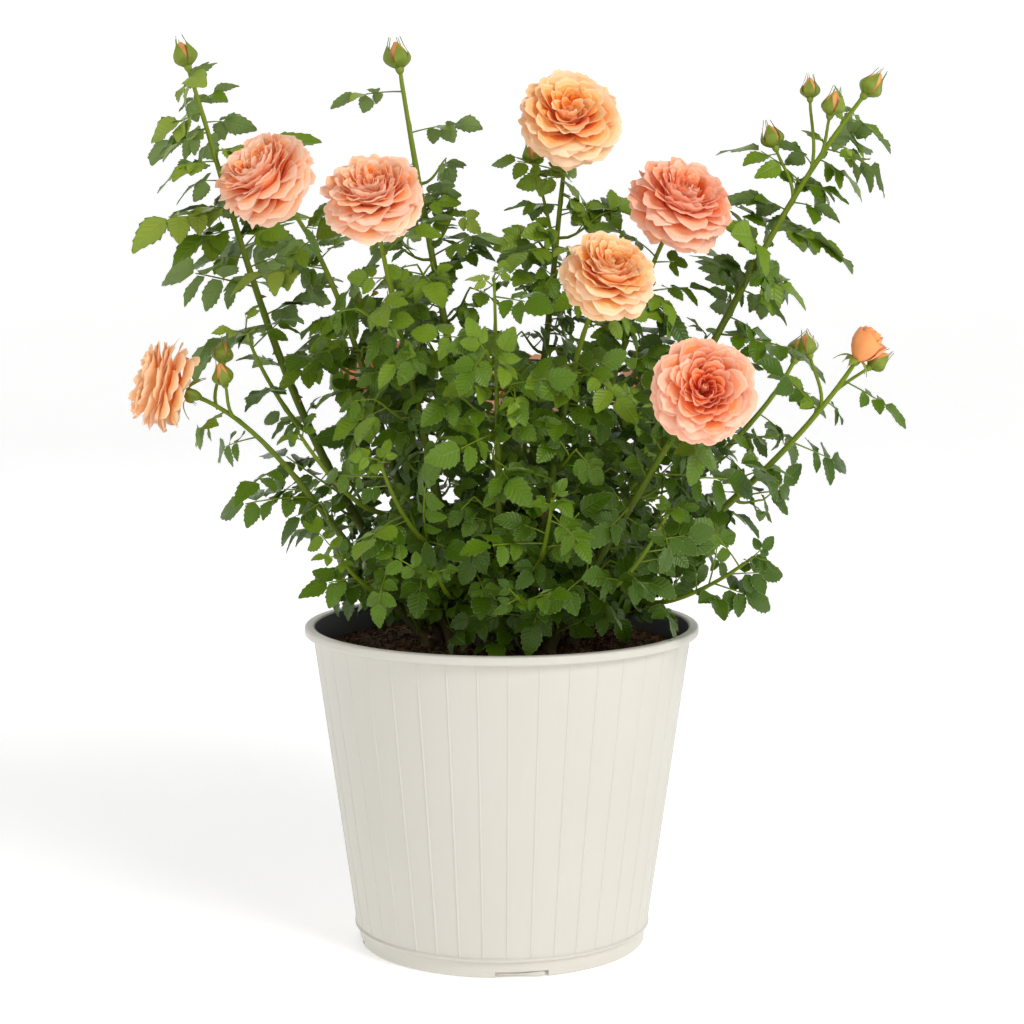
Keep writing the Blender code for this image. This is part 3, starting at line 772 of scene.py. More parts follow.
# name: foot (x, y), middle of the flower or tip (x, y, z), bearing and elevation of the tip,
# elevation at the foot, share that is bare, what it ends in
CANES = {
    "left_tall": ((-0.040, 0.016), (-0.199, 0.040, 0.553), (168, 72), 48, 0.46, "bud"),
    "left_flower": ((-0.031, -0.012), (-0.144, -0.032, 0.484), (225, 42), 68, 0.40, "flower"),
    "left_low": ((-0.047, -0.006), (-0.209, -0.030, 0.357), (186, 18), 46, 0.34, "flower"),
    "centre_tall": ((-0.006, 0.007), (-0.065, 0.050, 0.552), (150, 80), 80, 0.45, "bud"),
    "front_flower": ((-0.022, -0.027), (-0.075, -0.090, 0.471), (262, 50), 78, 0.36, "flower"),
    "top_flower": ((0.006, 0.005), (0.042, -0.020, 0.519), (275, 40), 80, 0.43, "flower"),
    "front_leaves": ((0.000, -0.037), (-0.004, -0.105, 0.425), (262, 78), 70, 0.30, "leaf"),
    "front_right": ((0.014, -0.030), (0.062, -0.120, 0.426), (296, 45), 70, 0.42, "flower"),
    "front_low": ((0.030, -0.034), (0.115, -0.150, 0.362), (272, 14), 55, 0.42, "flower"),
    "right_flower": ((0.026, 0.004), (0.110, -0.030, 0.468), (300, 48), 75, 0.40, "flower"),
    "right_tall": ((0.036, 0.016), (0.228, 0.030, 0.535), (5, 52), 60, 0.44, "bud"),
    "right_low": ((0.044, -0.010), (0.217, -0.030, 0.370), (350, 58), 42, 0.38, "bud"),
    "right_back": ((0.036, 0.034), (0.192, 0.075, 0.365), (25, 60), 55, 0.38, "bud"),
    "back_left": ((-0.018, 0.040), (-0.084, 0.148, 0.350), (114, 30), 68, 0.42, "flower"),
    "back_centre": ((0.002, 0.046), (0.016, 0.186, 0.338), (86, 24), 60, 0.42, "flower"),
    "back_right": ((0.022, 0.040), (0.106, 0.152, 0.334), (50, 28), 58, 0.42, "flower"),
}
print(sum(row[5] == "flower" for row in CANES.values()), "of", len(CANES), "canes end in a flower")

# %% [markdown]
# ## Lines to place things by
#
# A route is a line through points that can be read at any distance along it: where it is there, and
# which way it heads. Every leaf, ring of bark and bud asks its route for its place. A curve object could
# hold the same line, but the script would have to evaluate it before it could read a single point.

# %% Routes


def square_to(vector, axis):
    """The unit vector nearest to the given one that is square to the axis."""
    return (vector - axis * vector.dot(axis)).normalized()


def frame_at(point, along, up):
    """A matrix whose X runs along, whose Z is as near up as that allows, and whose origin is the point."""
    z = square_to(up, along)
    y = z.cross(along)
    return Matrix.Translation(point) @ Matrix((along, y, z)).transposed().to_4x4()


class Route:
    """A line through points, read by the distance along it."""

    def __init__(self, points):
        self.points = points
        self.marks = [0.0]
        for a, b in zip(points, points[1:]):
            self.marks.append(self.marks[-1] + (b - a).length)
        self.length = self.marks[-1]

    def step_at(self, distance):
        for index in range(1, len(self.marks) - 1):
            if distance < self.marks[index]:
                return index
        return len(self.marks) - 1

    def at(self, distance):
        index = self.step_at(distance)
        start = self.marks[index - 1]
        share = (distance - start) / (self.marks[index] - start)
        return self.points[index - 1].lerp(self.points[index], share)

    def heading(self, distance):
        index = self.step_at(distance)
        return (self.points[index] - self.points[index - 1]).normalized()

    def stretch(self, start, end, steps):
        """Points from one distance to another, straight for a collar's length where it starts and ends."""
        inner = [start + (end - start) * i / steps for i in range(1, steps)]
        first = self.at(start)
        last = self.at(end)
        collars = (first + self.heading(start) * COLLAR, last - self.heading(end) * COLLAR)
        return [first, collars[0], *(self.at(d) for d in inner), collars[1], last]


def bent(start, start_heading, end, end_heading, samples=32):
    """A cubic curve between two points, along a heading at each."""
    reach = (end - start).length
    first = start + start_heading * reach * FOOT_PULL
    second = end - end_heading * reach * TIP_PULL
    points = []
    for i in range(samples + 1):
        t = i / samples
        s = 1 - t
        points.append(start * s**3 + first * 3 * s * s * t + second * 3 * s * t * t + end * t**3)
    return points


def cane_route(name):
    (x, y), tip, facing, foot_elevation, _, ends = CANES[name]
    on_crown = math.hypot(x, y) < CROWN_TOP
    foot = Vector((x, y, SOIL_CROWN + TOUCH + (CROWN_HEIGHT + TOUCH if on_crown else 0)))
    tip_heading = direction(*facing)
    end = Vector(tip)
    if ends == "flower":
        end -= tip_heading * HEAD_DEPTH * HEAD_SEAT
    start = foot + UP * COLLAR
    across = end - start
    start_heading = direction(math.degrees(math.atan2(across.y, across.x)), foot_elevation)
    return Route([foot, *bent(start, start_heading, end, tip_heading)])


ROUTES = {name: cane_route(name) for name in CANES}
print(len(ROUTES), "canes, up to", round(max(r.length for r in ROUTES.values()) * 1000), "mm long")

# %% [markdown]
# ## How the bush grows: shoots
#
# A cane is bare near its foot and leafy above, where the table calls it a shoot. Side shoots leave
# square to a cane and bend upward, as a bud in a leaf's armpit does once the cane has stopped climbing.
# Both kinds are kept in one list with the same facts, so that one leaf rule serves them all.

# %% Side shoots and the list of shoots
# cane, place as a share of its length, bearing, elevation, length
SIDE_SHOOTS = (
    ("left_tall", 0.40, 230, 50, 0.085),
    ("left_tall", 0.26, 120, 40, 0.085),
    ("left_flower", 0.30, 215, 35, 0.090),
    ("left_low", 0.20, 250, 25, 0.075),
    ("centre_tall", 0.39, 190, 50, 0.085),
    ("centre_tall", 0.27, 100, 45, 0.085),
    ("front_flower", 0.26, 235, 40, 0.085),
    ("top_flower", 0.37, 30, 50, 0.090),
    ("top_flower", 0.24, 270, 55, 0.080),
    ("front_right", 0.28, 275, 30, 0.085),
    ("front_low", 0.28, 310, 35, 0.085),
    ("right_flower", 0.34, 340, 45, 0.090),
    ("right_tall", 0.36, 60, 45, 0.095),
    ("right_low", 0.22, 320, 18, 0.095),
    ("right_back", 0.24, 40, 25, 0.090),
    ("back_left", 0.28, 160, 35, 0.095),
    ("back_centre", 0.24, 110, 30, 0.095),
    ("back_right", 0.26, 70, 30, 0.090),
    ("left_flower", 0.15, 245, 25, 0.065),
    ("front_flower", 0.14, 260, 20, 0.065),
    ("front_low", 0.16, 240, 15, 0.065),
    ("right_flower", 0.18, 350, 20, 0.075),
    ("back_left", 0.15, 130, 15, 0.075),
    ("back_right", 0.15, 45, 15, 0.075),
)

# shoot's cane: (distance below the tip, bearing, elevation, length of stalk)
SIDE_BUDS = {
    "right_tall": ((0.078, 150, 70, 0.034), (0.056, 100, 85, 0.044), (0.046, 300, 70, 0.026)),
    "right_low": ((0.034, 170, 78, 0.032), (0.024, 10, 35, 0.028)),
    "left_low": ((0.022, 80, 70, 0.028), (0.034, 250, 60, 0.024)),
    "top_flower": ((0.085, 200, 78, 0.060),),
    "back_left": ((0.050, 150, 65, 0.040),),
    "back_right": ((0.050, 20, 65, 0.040),),
}


def cane_radius(name, distance):
    share = distance / (ROUTES[name].length * CANES[name][4])
    return CANE_FOOT + (CANE_TIP - CANE_FOOT) * share


def side_route(cane, place, bearing, elevation, length):
    route = ROUTES[cane]
    distance = place * route.length
    axis = route.heading(distance)
    out = square_to(direction(bearing, elevation), axis)
    foot = route.at(distance) + out * (cane_radius(cane, distance) + TOUCH)
    start = foot + out * COLLAR
    end = foot + direction(bearing, elevation) * length
    return Route([foot, *bent(start, out, end, direction(bearing, min(80, elevation + 20)))])


def plan_shoots():
    """By name, each shoot's line of straight steps, the smooth line behind it, its cane and its ending."""
    shoots = {}
    for name, (_, _, _, _, bare, ends) in CANES.items():
        route = ROUTES[name]
        start = bare * route.length
        points = route.stretch(start, route.length, SHOOT_STEPS)
        points[0] = points[0] + route.heading(start) * TOUCH
        shoots[f"{name}_shoot"] = (Route(points), route, name, ends)
    for i, row in enumerate(SIDE_SHOOTS):
        route = side_route(*row)
        drawn = Route(route.stretch(0, route.length, SHOOT_STEPS))
        shoots[f"side_shoot_{i + 1:02d}"] = (drawn, route, row[0], "leaf")
    return shoots


SHOOTS = plan_shoots()
print(len(SHOOTS), "shoots and", sum(len(buds) for buds in SIDE_BUDS.values()), "side buds")

# %% [markdown]
# ## Drawing limbs
#
# A curve with a bevel would draw a cane, but real bark swells at every leaf scar and is never quite
# round. So a limb is drawn ring by ring, each ring square to the line and carried on from the last
# without twisting, and a relief function may push each vertex in or out. The builder keeps one growing
# list of vertices and faces, which makes one joined mesh of any number of limbs. It also keeps a number
# for each vertex, its age, from 0 at a soft green tip to 1 at the woody foot.

# %% Limb builder


class Build:
    """Vertices and faces of one joined mesh, with an age for each vertex and a finish for each face."""

    def __init__(self):
        self.vertices = []
        self.ages = []
        self.faces = []
        self.finishes = []

    def ring(self, points, age):
        first = len(self.vertices)
        self.vertices.extend(points)
        self.ages.extend([age] * len(points))
        return list(range(first, first + len(points)))

    def face(self, corners, finish=0):
        self.faces.append(corners)
        self.finishes.append(finish)

    def tube(self, points, radius_at, sides, age_at, relief=None, finish=0):
        """A capped tube through the points. Shares run from 0 at its start to 1 at its end."""
        across = square_to(Vector((0.31, 0.95, 0.02)), (points[1] - points[0]).normalized())
        rings = []
        travelled = 0.0
        for i, point in enumerate(points):
            ahead = points[min(i + 1, len(points) - 1)] - points[max(i - 1, 0)]
            axis = ahead.normalized()
            across = square_to(across, axis)
            other = axis.cross(across)
            travelled += (point - points[i - 1]).length if i else 0
            share = i / (len(points) - 1)
            radius = radius_at(share)
            ring = []
            for k in range(sides):
                angle = math.tau * k / sides
                push = relief(travelled, angle, share) if relief else 0
                ring.append(point + (across * math.cos(angle) + other * math.sin(angle)) * (radius + push))
            rings.append(self.ring(ring, age_at(share)))
        for a, b in zip(rings, rings[1:]):
            for k in range(sides):
                self.face((a[k - 1], a[k], b[k], b[k - 1]), finish)
        self.face(rings[0][::-1], finish)
        self.face(rings[-1], finish)

    def mesh(self, name):
        mesh = bpy.data.meshes.new(name)
        mesh.from_pydata(self.vertices, [], self.faces)
        mesh.polygons.foreach_set("material_index", self.finishes)
        age = mesh.attributes.new("age", "FLOAT", "POINT")
        age.data.foreach_set("value", self.ages)
        mesh.update()
        return mesh


def spaced(route, start, end, gap):
    """Points on a line every gap or so, both ends included."""
    steps = max(2, round((end - start) / gap))
    return [smooth_at(route, start + (end - start) * i / steps) for i in range(steps + 1)]


def smooth_at(route, distance):
    """A point on a line of straight steps, rounded over its corners."""
    points = [route.at(min(max(distance + d, 0), route.length)) for d in (-0.002, 0, 0.002)]
    return (points[0] + points[1] * 2 + points[2]) / 4


print("a limb's rings lie square to its line")

# %% [markdown]
# ## Canes and their bark
#
# All sixteen canes run whole from just under the soil to their flower or tip, because a cane on the real
# bush has no joint where its leaves begin. Each swells a little every 26 mm, where a leaf is or was.
# Each such node is two fifths of a turn round the cane from the last. The woody foot is ridged
# lengthwise. The skin goes from brown bark at the soil through dark green to the yellow green of the
# flower stalk. The age of each vertex tells the finish where on a cane it is.

# %% Canes
TURN = 144
NODE_GAP = 0.026
SCAR_HEIGHT = 0.00055
SCAR_REACH = 0.0021
RIDGE_GREEN = 0.00012
RIDGE_WOODY = 0.0005
WOBBLE = 0.00018
RING_GAP = 0.0034
CANE_SIDES = 14
CANE_SUNK = 0.008
FOOT_FLARE = 0.0009
# share of a shoot's tip radius that is left under what it ends in
TIP_SHARE = {"flower": 0.88, "bud": 0.95, "leaf": 0.55}


def bark_relief(name):
    seed = random.Random(name).uniform(0, 50)

    def relief(travelled, angle, share):
        scar = math.exp(-(((travelled % NODE_GAP) - NODE_GAP / 2) / SCAR_REACH) ** 2)
        side = 0.5 + 0.5 * math.cos(angle - math.radians(TURN) * (travelled // NODE_GAP))
        wood = max(0, 1 - share * 2.6)
        ridge = noise.noise(Vector((math.cos(angle) * 2.4, math.sin(angle) * 2.4, travelled * 26 + seed)))
        wobble = noise.noise(Vector((angle * 0.3 + seed, travelled * 34, 2)))
        swelling = scar * side * SCAR_HEIGHT * (1 - 0.5 * share)
        return swelling + ridge * (RIDGE_GREEN + RIDGE_WOODY * wood) + wobble * WOBBLE

    return relief


canes = Build()
for name, route in ROUTES.items():
    bare = CANES[name][4]
    ends = CANES[name][5]
    points = [route.points[0] - UP * CANE_SUNK, *spaced(route, 0, route.length, RING_GAP)]

    def radius_at(share, bare=bare, ends=ends):
        woody = CANE_FOOT + (CANE_TIP - CANE_FOOT) * min(1, share / bare)
        soft = max(0, share - bare) / (1 - bare)
        tip = SHOOT_TIP * TIP_SHARE[ends]
        thinning = (tip - CANE_TIP) * soft ** (1.1 if ends == "bud" else 0.8)
        return woody + thinning + FOOT_FLARE * max(0, 1 - share * 22)

    canes.tube(points, radius_at, CANE_SIDES, lambda share: 1 - share, bark_relief(name))
cane_mesh = canes.mesh("canes")
smooth(cane_mesh, 70)

cane_skin = Finish("cane_skin")
age = cane_skin.node("ShaderNodeAttribute", {"attribute_name": "age"}, output="Fac")
streak = cane_skin.speckle(700, detail=4, stretch=(1, 1, 0.18))
patch = cane_skin.speckle(45, detail=3)
weathered = age + (patch - 0.5) * 0.22 + (streak - 0.5) * 0.10
stops = [(0.0, tone(118, 138, 16)), (0.35, tone(98, 118, 12)), (0.68, tone(78, 94, 16))]
stops += [(0.9, tone(75, 75, 30)), (1.0, tone(88, 70, 46))]
skin_tone = cane_skin.node("ShaderNodeValToRGB", {"stops": stops}, {"Fac": weathered})
cane_skin.show(
    Base_Color=skin_tone,
    Roughness=0.42 + age * 0.3 + (streak - 0.5) * 0.2,
    Normal=cane_skin.relief(streak * 0.6 + patch * 0.4, 0.0004, 0.6),
)
cane_skin.show(Specular_IOR_Level=0.3)
piece("canes", cane_mesh, (cane_skin,), [f"{name}_cane" for name in CANES])

# %% [markdown]
# ## The crown
#
# The oldest canes fork from a short knobbly stump, the crown. It starts as a turned blank with a flare
# at the soil, like its solid, and noise at two sizes gives it the knobs and cracks of old bark. Its
# finish is bark brown with grey ridges, since the relief's own noise also picks the tone.

# %% Crown
KNOB_HEIGHT = 0.0022
CRACK_DEPTH = 0.0011
CROWN_SUNK = 0.004


def crown_mesh():
    steps = 14
    profile = [(0, CROWN_HEIGHT), (CROWN_TOP * 0.5, CROWN_HEIGHT + 0.0006)]
    for i in range(steps + 1):
        share = i / steps
        profile.append((CROWN_TOP + CROWN_FLARE * share**2, (CROWN_HEIGHT - 0.0004) * (1 - share)))
    profile += [(CROWN_TOP, -CROWN_SUNK), (0, -CROWN_SUNK)]
    mesh = turned(profile, 48)
    for vertex in mesh.vertices:
        place = vertex.co.copy()
        along_bark = Vector((place.x, place.y, place.z * 0.3))
        knobs = noise.noise(place * 120) * KNOB_HEIGHT + noise.noise(along_bark * 420) * CRACK_DEPTH
        outward = Vector((place.x, place.y, 0))
        if outward.length > 0.002:
            vertex.co += outward.normalized() * knobs
        vertex.co.z += SOIL_CROWN + TOUCH + noise.noise(place * 160) * 0.0006
    return mesh


old_bark = Finish("old_bark")
crack = old_bark.speckle(300, detail=6, stretch=(1, 1, 0.25))
moss = old_bark.speckle(70, detail=3)
bark_tone = old_bark.blend(crack, tone(44, 34, 24), tone(118, 104, 80))
old_bark.show(
    Base_Color=old_bark.blend(moss ** 2.0, bark_tone, tone(84, 86, 48)),
    Roughness=0.85,
    Normal=old_bark.relief(crack, 0.0010, 0.9),
)
crown = crown_mesh()
smooth(crown, 60)
piece("crown_stump", crown, (old_bark,), ["crown"])

# %% [markdown]
# ## Prickles
#
# A rose's prickles are hooks of skin, broad at the foot and bent downward. They sit scattered over the
# canes, so the tree drops them on the canes' own surface. Its points know which way the surface faces
# there, and the hook stands up along that. Only the woody and green parts carry them. The flower stalks
# are smooth.

# %% Prickles
PRICKLE_HEIGHT = 0.0036
PRICKLE_FOOT = 0.0017
PRICKLE_POINT = 0.0002
PRICKLE_SUNK = 0.0004


def hook(name):
    """A prickle of six sides that leans over as it rises along Z."""
    bm = bmesh.new()
    sizes = {"radius1": PRICKLE_FOOT, "radius2": PRICKLE_POINT, "depth": PRICKLE_HEIGHT}
    made = bmesh.ops.create_cone(bm, cap_ends=True, segments=6, **sizes)
    for vertex in made["verts"]:
        rise = vertex.co.z + PRICKLE_HEIGHT / 2 - PRICKLE_SUNK
        vertex.co = (vertex.co.x * 0.55, vertex.co.y - rise * 0.35, rise)
    mesh = bpy.data.meshes.new(name)
    bm.to_mesh(mesh)
    bm.free()
    return linked(name, mesh)


prickling = Tree(
    "prickling",
    [("Hook", "Object"), ("Per square metre", "Float"), ("Seed", "Int"), ("Finish", "Material")],
)
given = prickling.inputs
age_read = prickling.node("GeometryNodeInputNamedAttribute", {"data_type": "FLOAT"}, {"Name": "age"})
sockets = {"Value": age_read[0], "From Min": 0.3, "From Max": 0.75}
woody = prickling.node("ShaderNodeMapRange", sockets=sockets)
sockets = {0: woody[0], 1: given["Per square metre"]}
crowd = prickling.node("ShaderNodeMath", {"operation": "MULTIPLY"}, sockets)
where = prickling.node(
    "GeometryNodeDistributePointsOnFaces",
    sockets={"Mesh": given["Geometry"], "Density": crowd[0], "Seed": given["Seed"]},
)
hook_in = prickling.node("GeometryNodeObjectInfo", sockets={"Object": given["Hook"]})
sockets = {2: 0.55, 3: 1.1, "Seed": given["Seed"]}
size = prickling.node("FunctionNodeRandomValue", {"data_type": "FLOAT"}, sockets)
stood = prickling.node(
    "GeometryNodeInstanceOnPoints",
    sockets={"Points": where[0], "Instance": hook_in["Geometry"], "Rotation": where[2], "Scale": size[1]},
)
real = prickling.node("GeometryNodeRealizeInstances", sockets={"Geometry": stood[0]})
told = prickling.node("GeometryNodeSetMaterial", sockets={"Geometry": real[0], "Material": given["Finish"]})
prickling.finish(told[0])

prickle_skin = Finish("prickle_skin")
blush = prickle_skin.speckle(180, detail=2)
prickle_skin.show(Base_Color=prickle_skin.blend(blush, tone(120, 96, 52), tone(142, 74, 48)), Roughness=0.45)
hook_shape = hook("hook")
prickles = prickling.grown(
    cane_mesh.copy(), Hook=hook_shape, Per_square_metre=3800.0, Seed=5, Finish=prickle_skin.material
)
bpy.data.objects.remove(hook_shape)
smooth(prickles, 50)
piece("prickles", prickles)

# %% [markdown]
# ## Where the leaves grow
#
# A rose sets one leaf every few centimetres, each the same turn round the stem from the last, so the
# sixth stands over the first. The rule below is that of the solids: its seed is the shoot's name, and
# each leaf draws its size and its roll in the same order. The solids' leaves had to dodge limbs and each
# other, so each one may have taken one of seven tries or none. Nothing is gained by working that out
# again. The solid itself tells which try was taken, because one of its corners lies at the tip of the
# end leaflet.

# %% The leaf rule
LEAF_STEP = 0.026
LEAF_LENGTH = 0.041
LEAF_FOLD = 0.0035
STALK_LENGTH = 0.045
LEAFLET_DROOP = 12
LEAF_RISE = 28
LEAF_DROOP = 0.40
LIGHT_LEAN = 1.0
LIGHT_SIDE = Vector((0, -0.5, 0))
SMALLEST = 0.60
SIZE_RANGE = (0.92, 1.05)
ROLL = 30
FIRST_LEAF = 0.020
BELOW_FLOWER = 0.026
BELOW_TIP = 0.012
# more turn and more lift of each try
TRIES = ((0, 0), (24, 10), (-24, -8), (48, -14), (-48, 16), (70, 0), (-70, 4))
SAME_CORNER = 0.0006
FIRST_SIDE = direction(25, 3)


def side_at(axis, turn):
    """The way out from a stem, square to its axis, on the side that the turn tells."""
    return Matrix.Rotation(math.radians(turn), 3, axis) @ square_to(FIRST_SIDE, axis)


def leaf_place(route, distance, turn, lift, roll):
    """Where a compound leaf leaves a stem: out on the given side, rising, with its face turned up."""
    point = route.at(distance)
    axis = route.heading(distance)
    out = side_at(axis, turn)
    rise = math.radians(LEAF_RISE + lift)
    along = out * math.cos(rise) + axis * math.sin(rise)
    along.z -= LEAF_DROOP
    along.normalize()
    light = UP + Vector((point.x, point.y, 0)).normalized() * LIGHT_LEAN + LIGHT_SIDE
    return frame_at(point, along, Matrix.Rotation(math.radians(roll), 3, along) @ light)


def turned_about(axis, degrees):
    return Matrix.Rotation(math.radians(degrees), 4, axis)


def leaf_tip(place, size):
    end = place @ Matrix.Translation((STALK_LENGTH * size, 0, 0)) @ turned_about("Y", LEAFLET_DROOP)
    return end @ Vector((LEAF_LENGTH * size, 0, -LEAF_FOLD))


def corners_of(name):
    vertices = NODES[name].data.vertices
    tree = KDTree(len(vertices))
    for i, vertex in enumerate(vertices):
        tree.insert(vertex.co, i)
    tree.balance()
    return tree


def grown_leaves(name):
    """Each leaf of the shoot's solid: its place, its size, how far up it sits and its share of length."""
    route, _, _, ends = SHOOTS[name]
    solid = corners_of(name)
    rng = random.Random(name)
    last = route.length - (BELOW_FLOWER if ends == "flower" else BELOW_TIP)
    count = max(1, round((last - FIRST_LEAF) / LEAF_STEP)) + 1
    turn = rng.uniform(0, 360)
    leaves = []
    for i in range(count):
        share = i / (count - 1)
        size = (1 - (1 - SMALLEST) * share) * rng.uniform(*SIZE_RANGE)
        roll = rng.uniform(-ROLL, ROLL)
        distance = FIRST_LEAF + (last - FIRST_LEAF) * share
        turn += TURN
        for more_turn, more_lift in TRIES:
            place = leaf_place(route, distance, turn + more_turn, more_lift, roll)
            if solid.find(leaf_tip(place, size))[2] < SAME_CORNER:
                leaves.append((place, size, share, 1))
                break
    return leaves


LEAVES = {name: grown_leaves(name) for name in SHOOTS}
print(sum(len(leaves) for leaves in LEAVES.values()), "leaves stand on the solids")

# %% [markdown]
# ## Room for finer growth
#
# A real bush has several times as many leaves as the solids can hold, above all low in the middle, where
# canes stand close. The rule goes on to those leaves, but it needs to know where there is room. A leaf
# is kept only where the crown of the solids reaches, clear of the soil, the rim and the flowers' faces,
# and inside a fan that is narrow at the rim and opens upward.

# %% Room for finer growth
HEAD_RADIUS = 0.031
REACH_SLACK = 0.010
RACHIS = 0.052
END_LEAFLET = 0.0285
TIGHT = 0.5
FACE_CLEAR = 0.10
BACK_CLEAR = 0.01
SOIL_CLEAR = 0.006
WALL_CLEAR = 0.006
RIM_CLEAR = 0.004
FAN_FOOT = 0.205
FAN_RADIUS = 0.080
FAN_SLOPE = 1.15
HEADS = [(Vector(row[1]), direction(*row[2])) for row in CANES.values() if row[5] == "flower"]
BOXES = {name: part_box(name) for name in SHOOTS}


def in_reach(point, name):
    low, high = BOXES[name]
    return all(low[k] - REACH_SLACK < point[k] < high[k] + REACH_SLACK for k in range(3))


def clear_of_flowers(point):
    for middle, facing in HEADS:
        off = point - middle
        depth = off.dot(facing)
        aside = (off - facing * depth).length
        before = -BACK_CLEAR < depth < FACE_CLEAR
        if off.length < HEAD_RADIUS * 1.12 or (before and aside < HEAD_RADIUS * 1.05):
            return False
    return True


def clear_of_pot(point):
    if math.hypot(point.x, point.y) < WALL_TOP_RADIUS - WALL_CLEAR:
        return point.z > SOIL_CROWN + SOIL_CLEAR
    return point.z > POT_HEIGHT + RIM_CLEAR


def before_flower(point):
    """Whether a leaf here would stand before a flower for someone in front of the bush."""
    for middle, _ in HEADS:
        if middle.y < 0.05 and point.y < middle.y + 0.02:
            if math.hypot(point.x - middle.x, point.z - middle.z) < HEAD_RADIUS * 1.15:
                return True
    return False


def held(value):
    """The value, held between 0 and 1."""
    return min(1.0, max(0.0, value))


# share of a leaf's length and width aside of the spots that are tested
LEAF_SPOTS = ((1, 0), (0.75, 0.012), (0.75, -0.012), (0.45, 0))


def leaf_length(size):
    return RACHIS * size * TIGHT + END_LEAFLET * size**0.8


def leaf_fits(place, size):
    reach = leaf_length(size)
    for share, aside in LEAF_SPOTS:
        spot = place @ Vector((reach * share, aside * size, 0))
        if before_flower(spot) or not (clear_of_flowers(spot) and clear_of_pot(spot)):
            return False
    return True


def in_fan(point):
    """Whether a point lies in the fan of the crown, which is narrow at the rim and opens upward."""
    return math.hypot(point.x - 0.01, point.y - 0.01) < FAN_RADIUS + (point.z - FAN_FOOT) * FAN_SLOPE


print(len(BOXES), "boxes of shoots and", len(HEADS), "flowers to keep clear of")

# %% [markdown]
# ## How dense the leaves are
#
# Sky shows between the upper canes and none low in the middle, so the odds of a leaf fall with height
# and with distance from the middle. The sizes answer to light in the same way: small leaflets in the
# shade, large ones high at the sides. Three flowers stand behind the bush, and a leaf that veils them
# from the front is always grown where it has room.

# %% Odds of a leaf


def leaf_vigour(point):
    """Leaflets are smaller in the shade low in the middle and larger high at the sides, in the light."""
    aside = math.hypot(point.x - 0.01, point.y - 0.01)
    shade = held(2 - aside / 0.06) * held(2 - (point.z - 0.22) / 0.10)
    light = held((aside - 0.09) / 0.05) * held((point.z - 0.38) / 0.06)
    skirt = held((aside - 0.07) / 0.04) * held((0.34 - point.z) / 0.06)
    return 1.0 - 0.24 * shade - 0.12 * skirt + 0.34 * light


def likely(point):
    """The odds of finer growth at a point: sure low in the middle of the bush, rare at its top and sides."""
    height = max(0, (point.z - 0.42) / 0.13)
    aside = max(0, (math.hypot(point.x - 0.02, point.y) - 0.07) / 0.07)
    return max(0.0, 1.0 - 0.9 * height - 0.75 * aside)


def veils(point):
    """Whether a leaf here hides one of the back flowers from someone who stands in front of the bush."""
    if point.y > 0.06:
        return False
    backs = [Vector(CANES[name][1]) for name in ("back_left", "back_centre", "back_right")]
    return any(math.hypot(point.x - 0.9 * b.x, point.z - 0.9 * b.z - 0.045) < 0.034 for b in backs)


def before_cane(place, point):
    """Whether a leaf outside the dense middle would hang straight before its own cane, seen from in front."""
    return place.to_3x3().col[0].y < -0.5 and likely(point) < 0.6


for height in (0.25, 0.45, 0.55):
    print("odds in the middle at", height, "m:", round(likely(Vector((0, 0, height))), 2))

# %% [markdown]
# ## Leaves between the leaves
#
# Smaller leaves stand between those that each shoot's solid has, as the short growth in a leaf's armpit
# does on a real rose. The same rule sets them, with the same turn from leaf to leaf, and each one gets
# five tries at its turn before it is given up. Their stalks are short, so they keep close to the shoot,
# and the canes stay in sight. A few more hang from the low side shoots where they lean out over the rim.

# %% Finer leaves
PER_LEAF_MAIN = 4.2
PER_LEAF_SIDE = 2.2
OVER_RIM = 0.105
OVER_RIM_TOP = 0.27


def between_leaves(name):
    route, _, _, ends = SHOOTS[name]
    rng = random.Random(f"{name}_finer")
    last = route.length - (BELOW_FLOWER if ends == "flower" else BELOW_TIP)
    main = not name.startswith("side")
    count = max(2, round((last - FIRST_LEAF) / LEAF_STEP * (PER_LEAF_MAIN if main else PER_LEAF_SIDE)))
    turn = rng.uniform(0, 360)
    leaves = []
    for i in range(count):
        share = (i + 0.5) / count
        distance = FIRST_LEAF * 0.6 + (last - FIRST_LEAF * 0.6) * share
        point = route.at(distance)
        turn += TURN
        size = (1 - (1 - SMALLEST) * share) * rng.uniform(0.62, 0.96)
        if veils(point):
            odds = 1.0
        elif main:
            aside = math.hypot(point.x - 0.01, point.y)
            high = held((aside - 0.09) / 0.05) * held((point.z - 0.36) / 0.10)
            odds = max(0.62 * likely(point), 0.16 + 0.84 * high)
        else:
            odds = 0.15 + 0.35 * held((0.31 - point.z) / 0.04) + 0.5 * likely(point)
        if rng.random() > odds:
            continue
        for more_turn in (0, 40, -40, 80, -80):
            lift = rng.uniform(-14, 20)
            place = leaf_place(route, distance, turn + more_turn, lift, rng.uniform(-ROLL, ROLL))
            tip = place @ Vector((leaf_length(size), 0, 0))
            room = in_reach(tip, name) and in_fan(tip) and leaf_fits(place, size)
            if room and not before_cane(place, point):
                leaves.append((place, size, share, TIGHT))
                break
    if ends == "leaf":
        for k in range(3):
            place = leaf_place(route, route.length - 0.003 * k, turn + 120 * k, 26, rng.uniform(-20, 20))
            leaves.append((place, rng.uniform(0.22, 0.38), 1.2, TIGHT))
    return leaves


